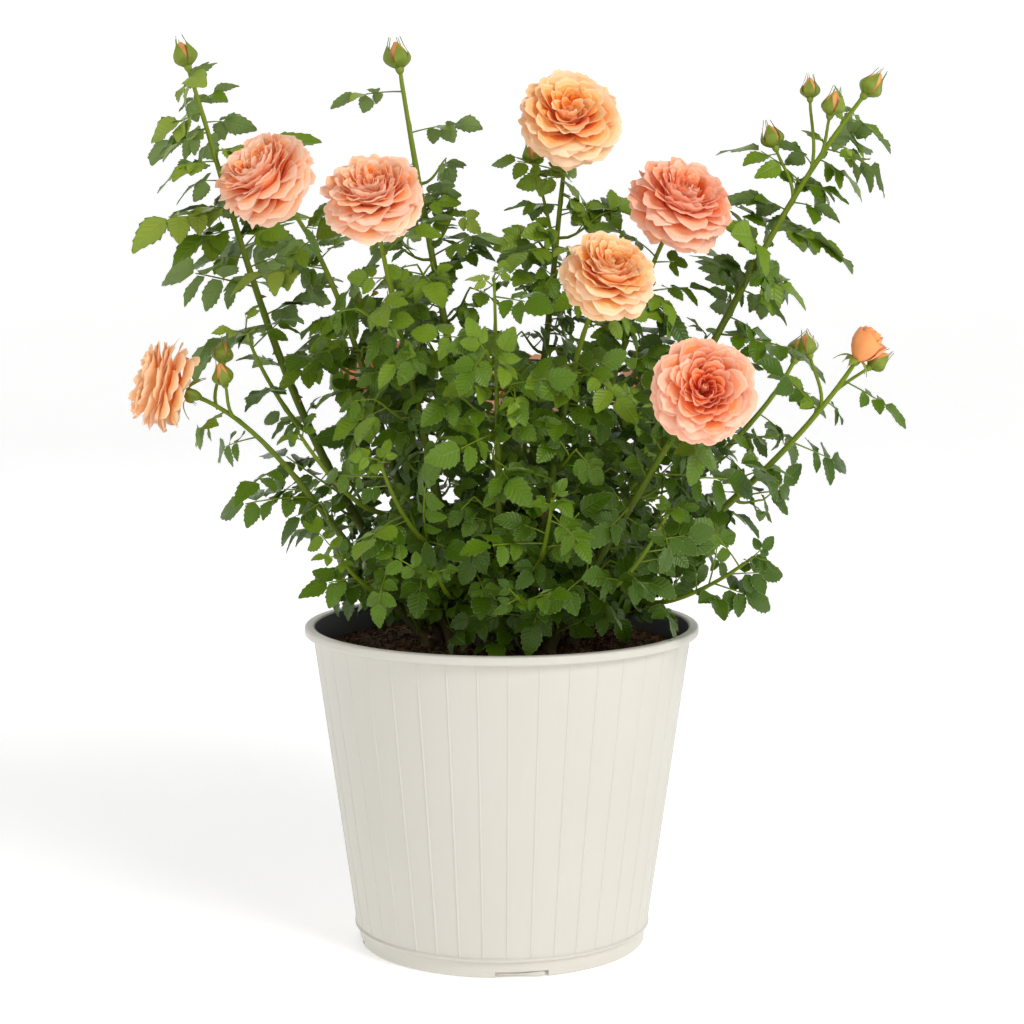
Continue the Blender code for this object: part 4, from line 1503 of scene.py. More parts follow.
def hanging_leaves(name):
    """Leaves on the underside of a side shoot, where it reaches out low over the rim."""
    route = SHOOTS[name][0]
    rng = random.Random(f"{name}_hanging")
    leaves = []
    distance = 0.020
    while distance < route.length - 0.016:
        point = route.at(distance)
        axis = route.heading(distance)
        outward = Vector((point.x, point.y, 0))
        down = square_to(-UP, axis)
        aside = down.cross(axis) * rng.choice((-0.5, 0.5))
        along = (axis * 0.6 + down * rng.uniform(0.4, 0.8) + aside).normalized()
        place = frame_at(point, along, UP * 0.5 + outward.normalized() + LIGHT_SIDE)
        size = rng.uniform(0.60, 0.85)
        if outward.length > OVER_RIM and point.z < OVER_RIM_TOP and leaf_fits(place, size):
            leaves.append((place, size, 0.2, TIGHT))
        distance += rng.uniform(0.008, 0.014)
    return leaves


FINER = {name: between_leaves(name) for name in SHOOTS}
for name in SHOOTS:
    if name.startswith("side"):
        FINER[name] += hanging_leaves(name)
print(sum(len(leaves) for leaves in FINER.values()), "finer leaves on the shoots")

# %% [markdown]
# ## Twigs on the bare canes
#
# The lower half of a cane has lost its leaves, but short twigs with two or three small leaves grow out
# of the old leaf scars. They fill the middle of the bush down to the soil. Each twig is a short bent
# line square to its cane, and it is only kept if at least one of its leaves has room.

# %% Twigs on the canes
TWIG_RADIUS = 0.0008
TWIGS_END = 0.80
CROWDED = 0.06


def cane_twigs(name):
    """Short leafy twigs on the bare part of a cane: each one's line, with the leaves along it."""
    route = ROUTES[name]
    rng = random.Random(f"{name}_twigs")
    bare = route.length * CANES[name][4]
    turn = rng.uniform(0, 360)
    grown = []
    distance = 0.012
    while distance < route.length * TWIGS_END:
        turn += TURN
        point = route.at(distance)
        axis = route.heading(distance)
        out = side_at(axis, turn)
        odds = 1.0 if veils(point) else likely(point)
        low = distance < CROWDED
        length = rng.uniform(0.010, 0.022 + 0.020 * odds)
        heading = (out * 0.9 + axis * 0.5 + UP * 0.1).normalized()
        end = point + heading * length
        leaves = []
        if rng.random() < odds + 0.12 and in_fan(end) and clear_of_pot(end) and clear_of_flowers(end):
            foot = point + out * cane_radius(name, min(distance, bare)) * 0.6
            twig = Route(bent(foot, out, end, heading, 6))
            for share in (0.35, 0.7, 0.98) if odds > 0.5 else (0.5, 0.98):
                size = rng.uniform(0.36, 0.68) * (1.25 if low else 1)
                side = turn + 360 * share * rng.uniform(0.7, 1.3)
                lift = rng.uniform(-25, 30)
                place = leaf_place(twig, twig.length * share, side, lift, rng.uniform(-40, 40))
                if leaf_fits(place, size) and not before_cane(place, point):
                    leaves.append((place, size, 0.3, TIGHT))
        if leaves:
            grown.append((twig, leaves))
        distance += rng.uniform(0.005, 0.010) if low else rng.uniform(0.009, 0.015)
    return grown


TWIGS = {name: cane_twigs(name) for name in CANES}
on_twigs = sum(len(leaves) for twigs in TWIGS.values() for _, leaves in twigs)
print(sum(len(twigs) for twigs in TWIGS.values()), "twigs with", on_twigs, "leaves")

# %% [markdown]
# ## From a leaf to its leaflets
#
# A rose leaf is a stalk with five or seven leaflets: one at the end and the rest in pairs. Each leaf of
# the rule becomes a bent stalk and a handful of leaflets within the length of its solid. Each leaflet is
# only a point with a turn, a size, a shape number and a tint number. Tints go by leaf and not by place
# on a blade: dark and mid green low down, brighter above, and a few young ones yellow green or bronze.

# %% Leaflets
# share of the stalk, angle to it and size of each pair of leaflets
PAIRS = ((0.82, 62, 0.76), (0.54, 68, 0.64), (0.28, 74, 0.52))
STALK_FOOT = 0.00085
STALK_TAPER = 0.00035
SHAPES = 4
DARK, MID, BRIGHT, YOUNG, BRONZE = range(5)
GROUPS = ("left", "middle", "right", "back")


class Spray:
    """The leaflets of one part of the bush, as points with a turn, a size, a shape and a tint."""

    def __init__(self):
        self.points = []
        self.turns = []
        self.sizes = []
        self.shapes = []
        self.tints = []

    def add(self, place, length, rng, tint):
        self.points.append(place.translation)
        self.turns.append(place.to_euler())
        self.sizes.append((length, length * rng.uniform(0.92, 1.12), length))
        self.shapes.append(rng.randrange(SHAPES))
        self.tints.append(tint)

    def mesh(self, name):
        mesh = bpy.data.meshes.new(name)
        mesh.from_pydata(self.points, [], [])
        turn = mesh.attributes.new("turn", "FLOAT_VECTOR", "POINT")
        turn.data.foreach_set("vector", [value for turns in self.turns for value in turns])
        size = mesh.attributes.new("size", "FLOAT_VECTOR", "POINT")
        size.data.foreach_set("vector", [value for sizes in self.sizes for value in sizes])
        for label, values in (("shape", self.shapes), ("tint", self.tints)):
            mesh.attributes.new(label, "INT", "POINT").data.foreach_set("value", values)
        return mesh


def tint_for(point, share, rng):
    """A leaf's tint: darker low down, brighter high up and at the tips of shoots, with painted shade on the
    right, the key lamp's side.
    """
    light = (point.z - 0.23) / 0.33 + 0.25 * min(share, 1) + rng.uniform(-0.36, 0.36)
    # painted shade: leaves on the right, where the key lamp shines, are dealt darker tints to offset its
    # light
    light -= 0.2 * held((point.x - 0.03) / 0.08)
    if share > 1 and point.z > 0.36:
        return rng.choice((BRONZE, YOUNG, BRIGHT))
    if light > 1.05:
        return YOUNG
    return BRIGHT if light > 0.62 else MID if light > 0.22 else DARK


def group_of(cane):
    tip = Vector(CANES[cane][1])
    if tip.y > 0.1:
        return "back"
    return "left" if tip.x < -0.1 else "right" if tip.x > 0.1 else "middle"


print(SHAPES, "shapes of blade and", BRONZE + 1, "tints, in", len(GROUPS), "groups")

# %% [markdown]
# ## Setting the leaves
#
# A leaf's stalk sags and sways a little. The end leaflet sits at its tip and the pairs stand off at an
# angle that grows toward the foot. Every leaflet draws a lean and a size of its own, and the leaf's
# vigour sets how large they all are. Big leaves of the solids' rule carry three pairs, the smaller ones
# two, and the smallest one.

# %% Set the leaves


def set_leaf(place, size, share, reach_share, rng, spray, stalks, whorls):
    """Adds one compound leaf: its stalk to the stalks and its leaflets to the spray."""
    tint = tint_for(place.translation, share, rng)
    length = RACHIS * size * reach_share
    sag = rng.uniform(0.02, 0.10) * length
    sway = rng.uniform(-0.06, 0.06) * length

    def along(share_out):
        return Vector((length * share_out, sway * share_out**2, sag * (share_out - share_out**2) * 2))

    def radius(s):
        return (STALK_FOOT - STALK_TAPER * s) * max(size, 0.7)

    line = [place @ along(i / 5) for i in range(6)]
    stalks.tube(line, radius, 5, lambda s: 0.35 * (1 - s))
    spots = [(1.0, 0, 1.0)]
    for out, angle, part in PAIRS[:whorls]:
        spots += [(out, angle, part), (out, -angle, part)]
    for out, angle, part in spots:
        blade = END_LEAFLET * size**0.8 * part * rng.uniform(0.90, 1.10) * leaf_vigour(place.translation)
        lean = place @ Matrix.Translation(along(out))
        lean = lean @ turned_about("Z", angle + rng.uniform(-9, 9)) @ turned_about("Y", rng.uniform(2, 26))
        lean = lean @ turned_about("X", rng.uniform(-22, 22)) @ Matrix.Translation((blade * 0.03, 0, 0))
        spray.add(lean, blade, rng, tint)


SPRAYS = {group: Spray() for group in GROUPS}
stalks = Build()
for name, (_, _, cane, _) in SHOOTS.items():
    rng = random.Random(f"{name}_leaflets")
    for place, size, share, reach_share in LEAVES[name] + FINER[name]:
        whorls = (3 if size > 0.85 else 2) if reach_share == 1 else (2 if size > 0.5 else 1)
        set_leaf(place, size, share, reach_share, rng, SPRAYS[group_of(cane)], stalks, whorls)
for cane, twigs in TWIGS.items():
    rng = random.Random(f"{cane}_twig_leaflets")
    for _, leaves in twigs:
        for place, size, share, reach_share in leaves:
            whorls = 2 if size > 0.5 else 1
            set_leaf(place, size, share, reach_share, rng, SPRAYS[group_of(cane)], stalks, whorls)
print({group: len(spray.points) for group, spray in SPRAYS.items()}, "leaflets")

# %% [markdown]
# ## The leaflet's blade
#
# A blade is an egg-shaped outline with a pointed tip and saw teeth that point forward. It is folded a
# little along its midrib, its tip bends down, and its surface puffs up between the side veins. The upper
# skin and the paler lower skin share their edge, so the blade is a closed shape, and the edge is kept
# sharp for the shading. Four blades differ in fold, bend and wave, and with each copy's own turn and
# size no two look the same.

# %% Blades
BLADE_WIDTH = 0.335
BLADE_WIDEST = 0.42
TEETH = 6
BLADE_THICKNESS = 0.016
# where a tooth's tip is and how far out, with the notch between teeth as a share of the half width
TOOTH_TIP = 0.131
TOOTH_GIRTH = 0.118
TOOTH_OUT = 1.05
TOOTH_PROUD = 0.012
NOTCH = 0.93


def half_width(t):
    t = min(max(t, 0.0), 1.0)
    return BLADE_WIDTH * (t / BLADE_WIDEST) ** 0.56 * ((1 - t) / (1 - BLADE_WIDEST)) ** 0.80


def blade_mesh(name, fold, bend, wave, lean):
    build = Build()

    def spot(t, side, out, lower=False):
        y = side * out
        across = abs(out) / BLADE_WIDTH
        z = fold * abs(out) * (1 - 0.5 * across) - bend * t * t - 0.5 * bend * max(0, t - 0.6) ** 2
        z += wave * math.sin(7 * t + lean + side) * across**2
        return Vector((t, y + lean * 0.05 * math.sin(math.pi * t), z - (BLADE_THICKNESS if lower else 0)))

    def corner(t, side=0, out=0.0, lower=False):
        return build.ring([spot(t, side, out, lower)], 0)[0]

    marks = [0.02 + 0.98 * k / TEETH for k in range(TEETH + 1)]
    rib = [corner(t) for t in marks]
    below = [rib[0], *(corner(t, lower=True) for t in marks[1:-1]), rib[-1]]
    for side in (-1, 1):
        edge = [rib[0], *(corner(t, side, half_width(t) * NOTCH) for t in marks[1:-1]), rib[-1]]
        for k in range(TEETH):
            out = half_width(marks[k] + TOOTH_GIRTH) * TOOTH_OUT + TOOTH_PROUD * (k < TEETH - 1)
            tooth = corner(marks[k] + TOOTH_TIP, side, out)
            for skin, spine in ((0, rib), (1, below)):
                for loop in ([spine[k], edge[k], edge[k + 1], spine[k + 1]], [edge[k], tooth, edge[k + 1]]):
                    loop = [c for i, c in enumerate(loop) if c != loop[i - 1]]
                    turned_over = (side > 0) != (skin > 0)
                    build.face(loop[:1] + loop[:0:-1] if turned_over else loop, skin)
    mesh = build.mesh(name)
    mesh.shade_smooth()
    lower = mesh.attributes.new("lower", "INT", "FACE")
    lower.data.foreach_set("value", [face.material_index for face in mesh.polygons])
    sides = {}
    for face in mesh.polygons:
        for key in face.edge_keys:
            sides.setdefault(key, set()).add(face.material_index)
    sharp = mesh.attributes.new("sharp_edge", "BOOLEAN", "EDGE")
    for edge in mesh.edges:
        sharp.data[edge.index].value = len(sides[edge.key]) > 1
    flat = mesh.attributes.new("flat", "FLOAT_VECTOR", "POINT")
    values = [value for vertex in mesh.vertices for value in (vertex.co.x, vertex.co.y, 0)]
    flat.data.foreach_set("vector", values)
    mesh.attributes.remove(mesh.attributes["age"])
    return mesh


BLADES = bpy.data.collections.new("blades")
bpy.context.scene.collection.children.link(BLADES)
# fold, bend, wave and lean of each blade
BLADE_SHAPES = (
    (0.22, 0.20, 0.05, 0.2),
    (0.38, 0.26, 0.04, -0.4),
    (0.16, 0.36, 0.06, 0.9),
    (0.30, 0.12, 0.08, -1.1),
)
for i, shape in enumerate(BLADE_SHAPES):
    blade = bpy.data.objects.new(f"blade_{i + 1}", blade_mesh(f"blade_{i + 1}", *shape))
    BLADES.objects.link(blade)
blade_faces = len(BLADES.objects[0].data.polygons)
print("a blade has", blade_faces, "faces")

# %% [markdown]
# ## Leaf finishes
#
# Each tint is a plain green, dealt out leaf by leaf. A blade's colour hardly changes over its width, but
# its shine does: rose leaves are waxed in patches, so noise drives the roughness, and a faint puckering
# breaks the highlight. The lower skin is paler and has no wax.

# %% Leaf finishes
VEINS = 7
VEIN_SLANT = 0.75
MIDRIB = 26


def leaf_finish(name, colour, waxy, dull):
    made = Finish(name)
    flat = made.node("ShaderNodeAttribute", {"attribute_name": "flat"}, output=1)
    along = made.node("ShaderNodeSeparateXYZ", sockets={"Vector": flat})
    aside = made.node("ShaderNodeSeparateXYZ", sockets={"Vector": flat}, output=1)
    aside = aside.maths("ABSOLUTE", aside, 0.0)
    side_veins = (along - aside * VEIN_SLANT) * (VEINS * math.pi)
    side_veins = side_veins.maths("SINE", side_veins, 0.0)
    side_veins = side_veins.maths("ABSOLUTE", side_veins, 0.0) ** 0.35
    midrib = aside.maths("MINIMUM", aside * MIDRIB, 1.0)
    hills = side_veins * midrib
    patch = made.speckle(160, detail=2)
    made.show(Base_Color=colour, Roughness=waxy + patch * (dull - waxy) - hills * 0.06)
    made.show(Normal=made.relief(hills + made.speckle(900, detail=2) * 0.3, 0.0004, 0.7))
    return made.show(Specular_IOR_Level=0.32)


LEAF_FINISHES = [
    leaf_finish("leaf_dark", tone(64, 94, 0), 0.32, 0.52),
    leaf_finish("leaf_mid", tone(84, 116, 6), 0.32, 0.52),
    leaf_finish("leaf_bright", tone(112, 142, 26), 0.34, 0.54),
    leaf_finish("leaf_young", tone(150, 172, 60), 0.42, 0.66),
    leaf_finish("leaf_bronze", tone(156, 132, 50), 0.42, 0.66),
]
LEAF_UNDER = leaf_finish("leaf_under", tone(132, 158, 88), 0.6, 0.8)
print(len(LEAF_FINISHES), "finishes for the upper skin and one for the lower, with", VEINS, "side veins")

# %% [markdown]
# ## Leaflets on their points
#
# One tree sets a blade on every point, turned and scaled as the point says, picks one of the four by its
# shape number and makes the copies real. Then it gives each tint its finish, and last the lower skins
# theirs. Instancing first keeps the tree light, although the bush ends with thousands of blades.

# %% Leaf maker
leafing = Tree("leafing", [("Blades", "Collection"), ("Blade size", "Float")])
given = leafing.inputs


def read(tree, name, kind):
    return tree.node("GeometryNodeInputNamedAttribute", {"data_type": kind}, {"Name": name})[0]


def equals(tree, name, number):
    settings = {"data_type": "INT", "operation": "EQUAL"}
    return tree.node("FunctionNodeCompare", settings, {2: read(tree, name, "INT"), 3: number})


sockets = {"Collection": given["Blades"], "Separate Children": True, "Reset Children": True}
blades_in = leafing.node("GeometryNodeCollectionInfo", sockets=sockets)
sockets = {0: read(leafing, "size", "FLOAT_VECTOR"), "Scale": given["Blade size"]}
scale = leafing.node("ShaderNodeVectorMath", {"operation": "SCALE"}, sockets)
set_out = leafing.node(
    "GeometryNodeInstanceOnPoints",
    sockets={
        "Points": given["Geometry"],
        "Instance": blades_in[0],
        "Pick Instance": True,
        "Instance Index": read(leafing, "shape", "INT"),
        "Rotation": read(leafing, "turn", "FLOAT_VECTOR"),
        "Scale": scale[0],
    },
)
flow = leafing.node("GeometryNodeRealizeInstances", sockets={"Geometry": set_out[0]})[0]
for number, finish in enumerate(LEAF_FINISHES):
    same = equals(leafing, "tint", number)
    sockets = {"Geometry": flow, "Selection": same[0], "Material": finish.material}
    flow = leafing.node("GeometryNodeSetMaterial", sockets=sockets)[0]
sockets = {"Geometry": flow, "Selection": equals(leafing, "lower", 1)[0], "Material": LEAF_UNDER.material}
leafing.finish(leafing.node("GeometryNodeSetMaterial", sockets=sockets)[0])

for group, spray in SPRAYS.items():
    leaves = leafing.grown(spray.mesh(f"{group}_points"), Blades=BLADES, Blade_size=1.0)
    stood_for = [name for name, (_, _, cane, _) in SHOOTS.items() if group_of(cane) == group]
    piece(f"leaves_{group}", leaves, replaced=stood_for)
for blade in list(BLADES.objects):
    bpy.data.objects.remove(blade)

# %% [markdown]
# ## Twigs and stalks
#
# Side shoots, the finer twigs and all leaf stalks are one joined mesh of slim tubes. The leaf stalks
# were drawn with their leaves above, and the stems are added here. They wear the canes' skin, which
# turns from brown to green with the age that each tube is given: oldest at its foot and green at its
# tip.

# %% Twigs


def side_radius(s):
    return SHOOT_FOOT + (SHOOT_TIP * 0.7 - SHOOT_FOOT) * s


for name, (_, route, _, _) in SHOOTS.items():
    if name.startswith("side"):
        foot = route.points[0] - route.heading(0) * 0.002
        line = [foot, *spaced(route, 0, route.length, 0.004)]
        stalks.tube(line, side_radius, 8, lambda s: 0.6 - 0.5 * s, bark_relief(name))
for twigs in TWIGS.values():
    for twig, _ in twigs:
        stalks.tube(twig.points, lambda s: TWIG_RADIUS * (1.5 - 0.8 * s), 6, lambda s: 0.5 - 0.4 * s)
twig_mesh = stalks.mesh("twigs")
smooth(twig_mesh, 70)
piece("twigs", twig_mesh, (cane_skin,))

# %% [markdown]
# ## Petals and sepals
#
# Every petal, sepal and bud scale is the same kind of thing: a thin sheet that follows a curve outward
# from the flower's axis and is wrapped round that axis. The curve lies in a plane of (radius, height)
# and is a cubic between the base and the tip, with a lean at each end. Width, cupping, ruffles and a
# rolled rim are added across it. Its two skins share their edge, so each sheet is closed. A petal's rows
# are dealt to plain tints, deep orange at the heart and pale at the rim, so the colour has its place on
# the petal without any picture.

# %% Sheets
MM = 0.001
SHEET_THICKNESS = 0.28
MOST_WRAP = 1.5


def upright(point, facing):
    """A matrix with its origin at the point and its Z along the facing."""
    x = square_to(UP if abs(facing.z) < 0.98 else Vector((1, 0, 0)), facing)
    return Matrix.Translation(point) @ Matrix((x, facing.cross(x), facing)).transposed().to_4x4()


def head_place(cane):
    """Where a cane's bloom sits, facing the way that the table says."""
    return upright(Vector(CANES[cane][1]), direction(*CANES[cane][2]))


def swept(base, tip, base_lean, tip_lean, pull=0.42):
    """A cubic in the plane of radius and height, in mm. Leans are degrees up from straight outward."""
    reach = math.dist(base, tip) * pull
    a, b = math.radians(base_lean), math.radians(tip_lean)
    second = (base[0] + math.cos(a) * reach, base[1] + math.sin(a) * reach)
    third = (tip[0] - math.cos(b) * reach, tip[1] - math.sin(b) * reach)

    def at(u):
        s = 1 - u
        shares = (s**3, 3 * s * s * u, 3 * s * u * u, u**3)
        return [sum(w * p[k] for w, p in zip(shares, (base, second, third, tip))) for k in range(2)]

    return at


def sheet(build, place, around, line, half_width, rise, cut, rows, columns, tints, backs=None):
    """One closed sheet. rise(u, v) lifts it off its line, and cut(u, v) shortens it toward its corners.

    Its rows are dealt the tints on the upper skin, and the backs, if given, on the lower."""
    backs = backs or tints
    upper = []
    lower = []
    for i, u in enumerate(rows):
        top = []
        under = []
        for j in range(columns + 1):
            v = 2 * j / columns - 1
            along = min(max(u * (1 - cut(u, v)), 0.002), 1)
            r, z = line(along)
            ahead = line(min(along + 0.02, 1.02))
            lean = math.atan2(ahead[1] - z, ahead[0] - r)
            angle = around + max(-MOST_WRAP, min(MOST_WRAP, v * half_width(u) / max(r, 0.8)))
            skins = []
            inner = 0 < i < len(rows) - 1 and 0 < j < columns
            for depth in (0, SHEET_THICKNESS) if inner else (0,):
                lift = rise(u, v) - depth
                radius = r - math.sin(lean) * lift
                height = z + math.cos(lean) * lift
                spot = Vector((math.cos(angle) * radius, math.sin(angle) * radius, height))
                skins.append(place @ (spot * MM))
            first = build.ring(skins, u)
            top.append(first[0])
            under.append(first[-1])
        upper.append(top)
        lower.append(under)
    for i in range(len(rows) - 1):
        for j in range(columns):
            build.face((upper[i][j], upper[i][j + 1], upper[i + 1][j + 1], upper[i + 1][j]), tints[i])
            build.face((lower[i][j], lower[i + 1][j], lower[i + 1][j + 1], lower[i][j + 1]), backs[i])


print("a sheet's two skins share their edge")

# %% [markdown]
# ## The rosettes
#
# A full bloom is nine or eleven rings of petals over a shallow dome with a hollow heart. The outer rings
# are wide and bend back below the bloom, the middle ones stand out flat and show most of their faces,
# and the inner ones are narrow and stand up, muddled in the heart. One bloom is only half open: four
# rings that close over each other like a bud, so it shows the backs of its petals. Each row of a form is
# one ring: how many petals, the radius and height of their tips in mm, the lean of the tips and half the
# width of a petal.

# %% Forms of bloom
FULL = (
    (9, 25.0, -17.0, -70, 11.0),
    (11, 30.0, -9.5, -46, 11.5),
    (11, 31.8, -1.5, -18, 11.5),
    (11, 30.5, 5.5, 2, 11.0),
    (11, 27.0, 11.5, 22, 10.0),
    (11, 22.5, 15.5, 46, 9.0),
    (11, 18.0, 17.5, 64, 8.0),
    (10, 14.0, 17.5, 76, 7.0),
    (9, 10.0, 16.5, 88, 6.0),
    (7, 6.0, 15.0, 98, 4.8),
    (4, 2.5, 14.0, 96, 3.4),
)
LOOSE = (
    (9, 25.0, -16.0, -66, 11.5),
    (10, 30.5, -8.0, -42, 12.0),
    (10, 32.5, 0.5, -12, 12.0),
    (10, 30.5, 7.5, 8, 11.5),
    (9, 26.5, 13.0, 24, 11.0),
    (8, 20.5, 16.0, 38, 9.5),
    (7, 14.0, 16.5, 56, 8.0),
    (6, 8.0, 14.0, 76, 6.0),
    (4, 3.5, 11.0, 92, 4.0),
)
OPENING = (
    (5, 8.0, 21.0, 122, 10.5),
    (5, 6.5, 23.0, 116, 8.5),
    (4, 4.5, 24.0, 108, 6.0),
    (3, 2.4, 24.0, 100, 4.0),
)
for form in (FULL, LOOSE, OPENING):
    print(sum(ring[0] for ring in form), "petals in", len(form), "rings")

# %% [markdown]
# ## Which bloom stands where
#
# Each flowering cane has its form, palette and size. A palette is six plain tints from the heart of a
# petal to its rim, and a petal's rows take one each. The petals carry a faint painted glow, an emission
# in their own tints that stands in for the light soaking through their thin skins from all sides.

# %% Palettes and blooms
PEACH = ((236, 88, 14), (250, 128, 46), (254, 164, 98), (255, 190, 142), (255, 204, 168), (255, 214, 188))
APRICOT = ((242, 102, 12), (252, 142, 44), (254, 176, 92), (255, 198, 134), (255, 210, 160), (255, 218, 180))
PINK = ((232, 76, 12), (246, 112, 44), (252, 148, 88), (255, 172, 128), (254, 188, 154), (254, 200, 172))
PALETTES = {"peach": PEACH, "apricot": APRICOT, "pink": PINK}
# form, palette and size of the bloom on each cane
BLOOMS = {
    "left_flower": (FULL, "peach", 1.04),
    "front_flower": (FULL, "peach", 1.0),
    "top_flower": (LOOSE, "apricot", 1.04),
    "front_right": (FULL, "apricot", 0.92),
    "right_flower": (FULL, "pink", 1.07),
    "front_low": (FULL, "pink", 1.0),
    "left_low": (FULL, "apricot", 0.96),
    "back_left": (FULL, "pink", 1.0),
    "back_centre": (LOOSE, "peach", 1.0),
    "back_right": (FULL, "peach", 1.0),
}
# strength of the painted glow: the petals emit their own tints faintly in place of light passing through them
PETAL_PAINTED_GLOW = 0.05


def petal_finish(name, colour):
    made = Finish(name)
    soft = made.speckle(420, detail=2)
    veins = made.speckle(1500, detail=3, stretch=(1, 1, 0.35))
    made.show(Base_Color=colour, Roughness=0.46 + soft * 0.2, Normal=made.relief(veins, 0.0002, 0.5))
    # painted glow: each petal tint also shines as a faint emission, standing in for light through the thin
    # petals
    made.show(Emission_Color=colour, Emission_Strength=PETAL_PAINTED_GLOW)
    return made.show(Sheen_Weight=0.15, Sheen_Roughness=0.5, Specular_IOR_Level=0.3)


PETAL_FINISHES = {
    palette: [petal_finish(f"petal_{palette}_{i + 1}", tone(*chip)) for i, chip in enumerate(chips)]
    for palette, chips in PALETTES.items()
}
print(len(BLOOMS), "blooms in", len(PALETTES), "palettes")

# %% [markdown]
# ## One petal
#
# Each petal draws its own lean, width, ruffle and notch. Its one side lies under its neighbour and its
# other side over the next, as petals do. Petals near the heart take their tints a step or two warmer,
# and now and then an outer one is a step paler. The rings of the half-open bloom that lean in show only
# their backs, which are of one tint, so that no bands run round it.

# %% Petal
PETAL_ROWS = (0, 0.34, 0.58, 0.75, 0.87, 0.95, 1)
PETAL_COLUMNS = 12
CLOSED_LEAN = 99
CLOSED_BACK = 2


def set_petal(build, place, around, ring, rank, rng, open_base):
    """One petal. The rank goes from 0 in the outer ring to 1 in the heart."""
    _, radius, height, lean, half = ring
    base = (3.2 - 2.2 * rank, open_base + 8 * rank)
    tip = (radius + rng.uniform(-2.2, 1.6), height + rng.uniform(-2.0, 1.6))
    tip_lean = lean + rng.uniform(-16, 14) * (1 + 0.6 * rank)
    chord = math.degrees(math.atan2(tip[1] - base[1], tip[0] - base[0]))
    line = swept(base, tip, min(95, chord + (chord - tip_lean) * 0.55), tip_lean)
    wide = half * rng.uniform(0.8, 1.2)
    phases = [rng.uniform(0, math.tau) for _ in range(3)]
    ruffle = rng.uniform(0.4, 1.3) * (1 - 0.3 * rank)
    roll = rng.uniform(0.1, 2.2) * (1 - 0.6 * rank)
    notch = rng.choice((-0.04, -0.02, 0, 0.03, 0.06))
    skew = rng.uniform(-0.10, 0.10)
    cup = 1.6 * rank + rng.uniform(0.2, 1.4)
    shift = rng.choice((0, 0, 0, 1) if rank < 0.35 else (0, -1, -1, -1) if rank < 0.75 else (-2, -2, -1))

    def half_width(u):
        return wide * (0.26 + 0.74 * math.sin(min(u * 1.12, 1) * math.pi / 2) ** 1.2)

    def rise(u, v):
        wave = math.sin(v * 4.6 + phases[0]) * 0.6 + math.sin(v * 8.5 + phases[1]) * 0.4
        rim = max(0, (u - 0.72) / 0.28)
        curl = roll * rim * rim * (0.6 + 0.4 * math.cos(v * 2))
        return cup * v * v * u + 0.75 * v * u + ruffle * wave * u**3 - curl

    def cut(u, v):
        jags = 0.016 * math.sin(v * 8.5 + phases[2]) + 0.008 * math.sin(v * 17 + phases[0])
        return u * (0.02 + 0.17 * abs(v) ** 2.6 + notch * math.exp(-((v / 0.3) ** 2)) + skew * v + jags)

    tints = [min(5, max(0, i + shift)) for i in range(len(PETAL_ROWS) - 1)]
    backs = [min(5, max(2, i + 1 + shift)) for i in range(len(PETAL_ROWS) - 1)]
    if lean > CLOSED_LEAN:
        backs = [CLOSED_BACK] * len(backs)
    sheet(build, place, around, line, half_width, rise, cut, PETAL_ROWS, PETAL_COLUMNS, tints, backs)


print("a petal has", (len(PETAL_ROWS) - 1) * PETAL_COLUMNS * 2, "faces")

# %% [markdown]
# ## Growing the rosettes
#
# A rosette turns each ring half a petal on from the last, with a little chance in every place. Blooms of
# one palette share one mesh. A full bloom's petals start deep below its face, and those of the half-open
# one start above its hip.

# %% Rosettes
DEEP_BASE = -14.0
BUD_BASE = 3.0


def rosette(build, place, form, seed, open_base):
    rng = random.Random(seed)
    turn = rng.uniform(0, math.tau)
    for k, ring in enumerate(form):
        rank = k / (len(form) - 1)
        turn += math.pi / ring[0] + rng.uniform(-0.1, 0.1)
        for i in range(ring[0]):
            around = turn + math.tau * (i + rng.uniform(-0.14, 0.14)) / ring[0]
            set_petal(build, place, around, ring, rank, rng, open_base)


blooms = {palette: Build() for palette in PALETTES}
for cane, (form, palette, size) in BLOOMS.items():
    place = head_place(cane) @ Matrix.Scale(size, 4)
    rosette(blooms[palette], place, form, f"{cane}_rose", DEEP_BASE)
rosette(blooms["peach"], head_place("right_low"), OPENING, "half_open_rose", BUD_BASE)
for palette, build in blooms.items():
    mesh = build.mesh(f"roses_{palette}")
    smooth(mesh, 80)
    piece(f"roses_{palette}", mesh, PETAL_FINISHES[palette])

# %% [markdown]
# ## Buds, hips and sepals
#
# A bud is an egg of wrapped petals on a small green hip, and five sepals clasp it and stand off at their
# long tips. Under an open bloom the same five sepals have bent back. Hips and eggs are stacks of rings,
# told as (height, radius) in mm.

# %% Buds, hips and sepals
HIP = ((0, 1.2), (1.4, 2.3), (3.2, 2.8), (4.6, 2.5), (5.2, 2.2))
BUD_EGG = ((4.4, 2.4), (5.6, 4.5), (7.4, 5.8), (9.4, 6.3), (11.4, 6.1))
BUD_EGG += ((13.4, 5.3), (15.4, 4.1), (17.2, 2.8), (18.8, 1.6), (20.0, 0.7))
BUD_SWIRL = 0.55
BLOOM_HIP = ((-25.0, 1.3), (-23.2, 2.7), (-20.5, 3.6), (-17.8, 3.5), (-15.8, 3.9), (-14.6, 3.0))
SEPAL_ROWS = (0, 0.12, 0.24, 0.36, 0.48, 0.60, 0.72, 0.84, 1)


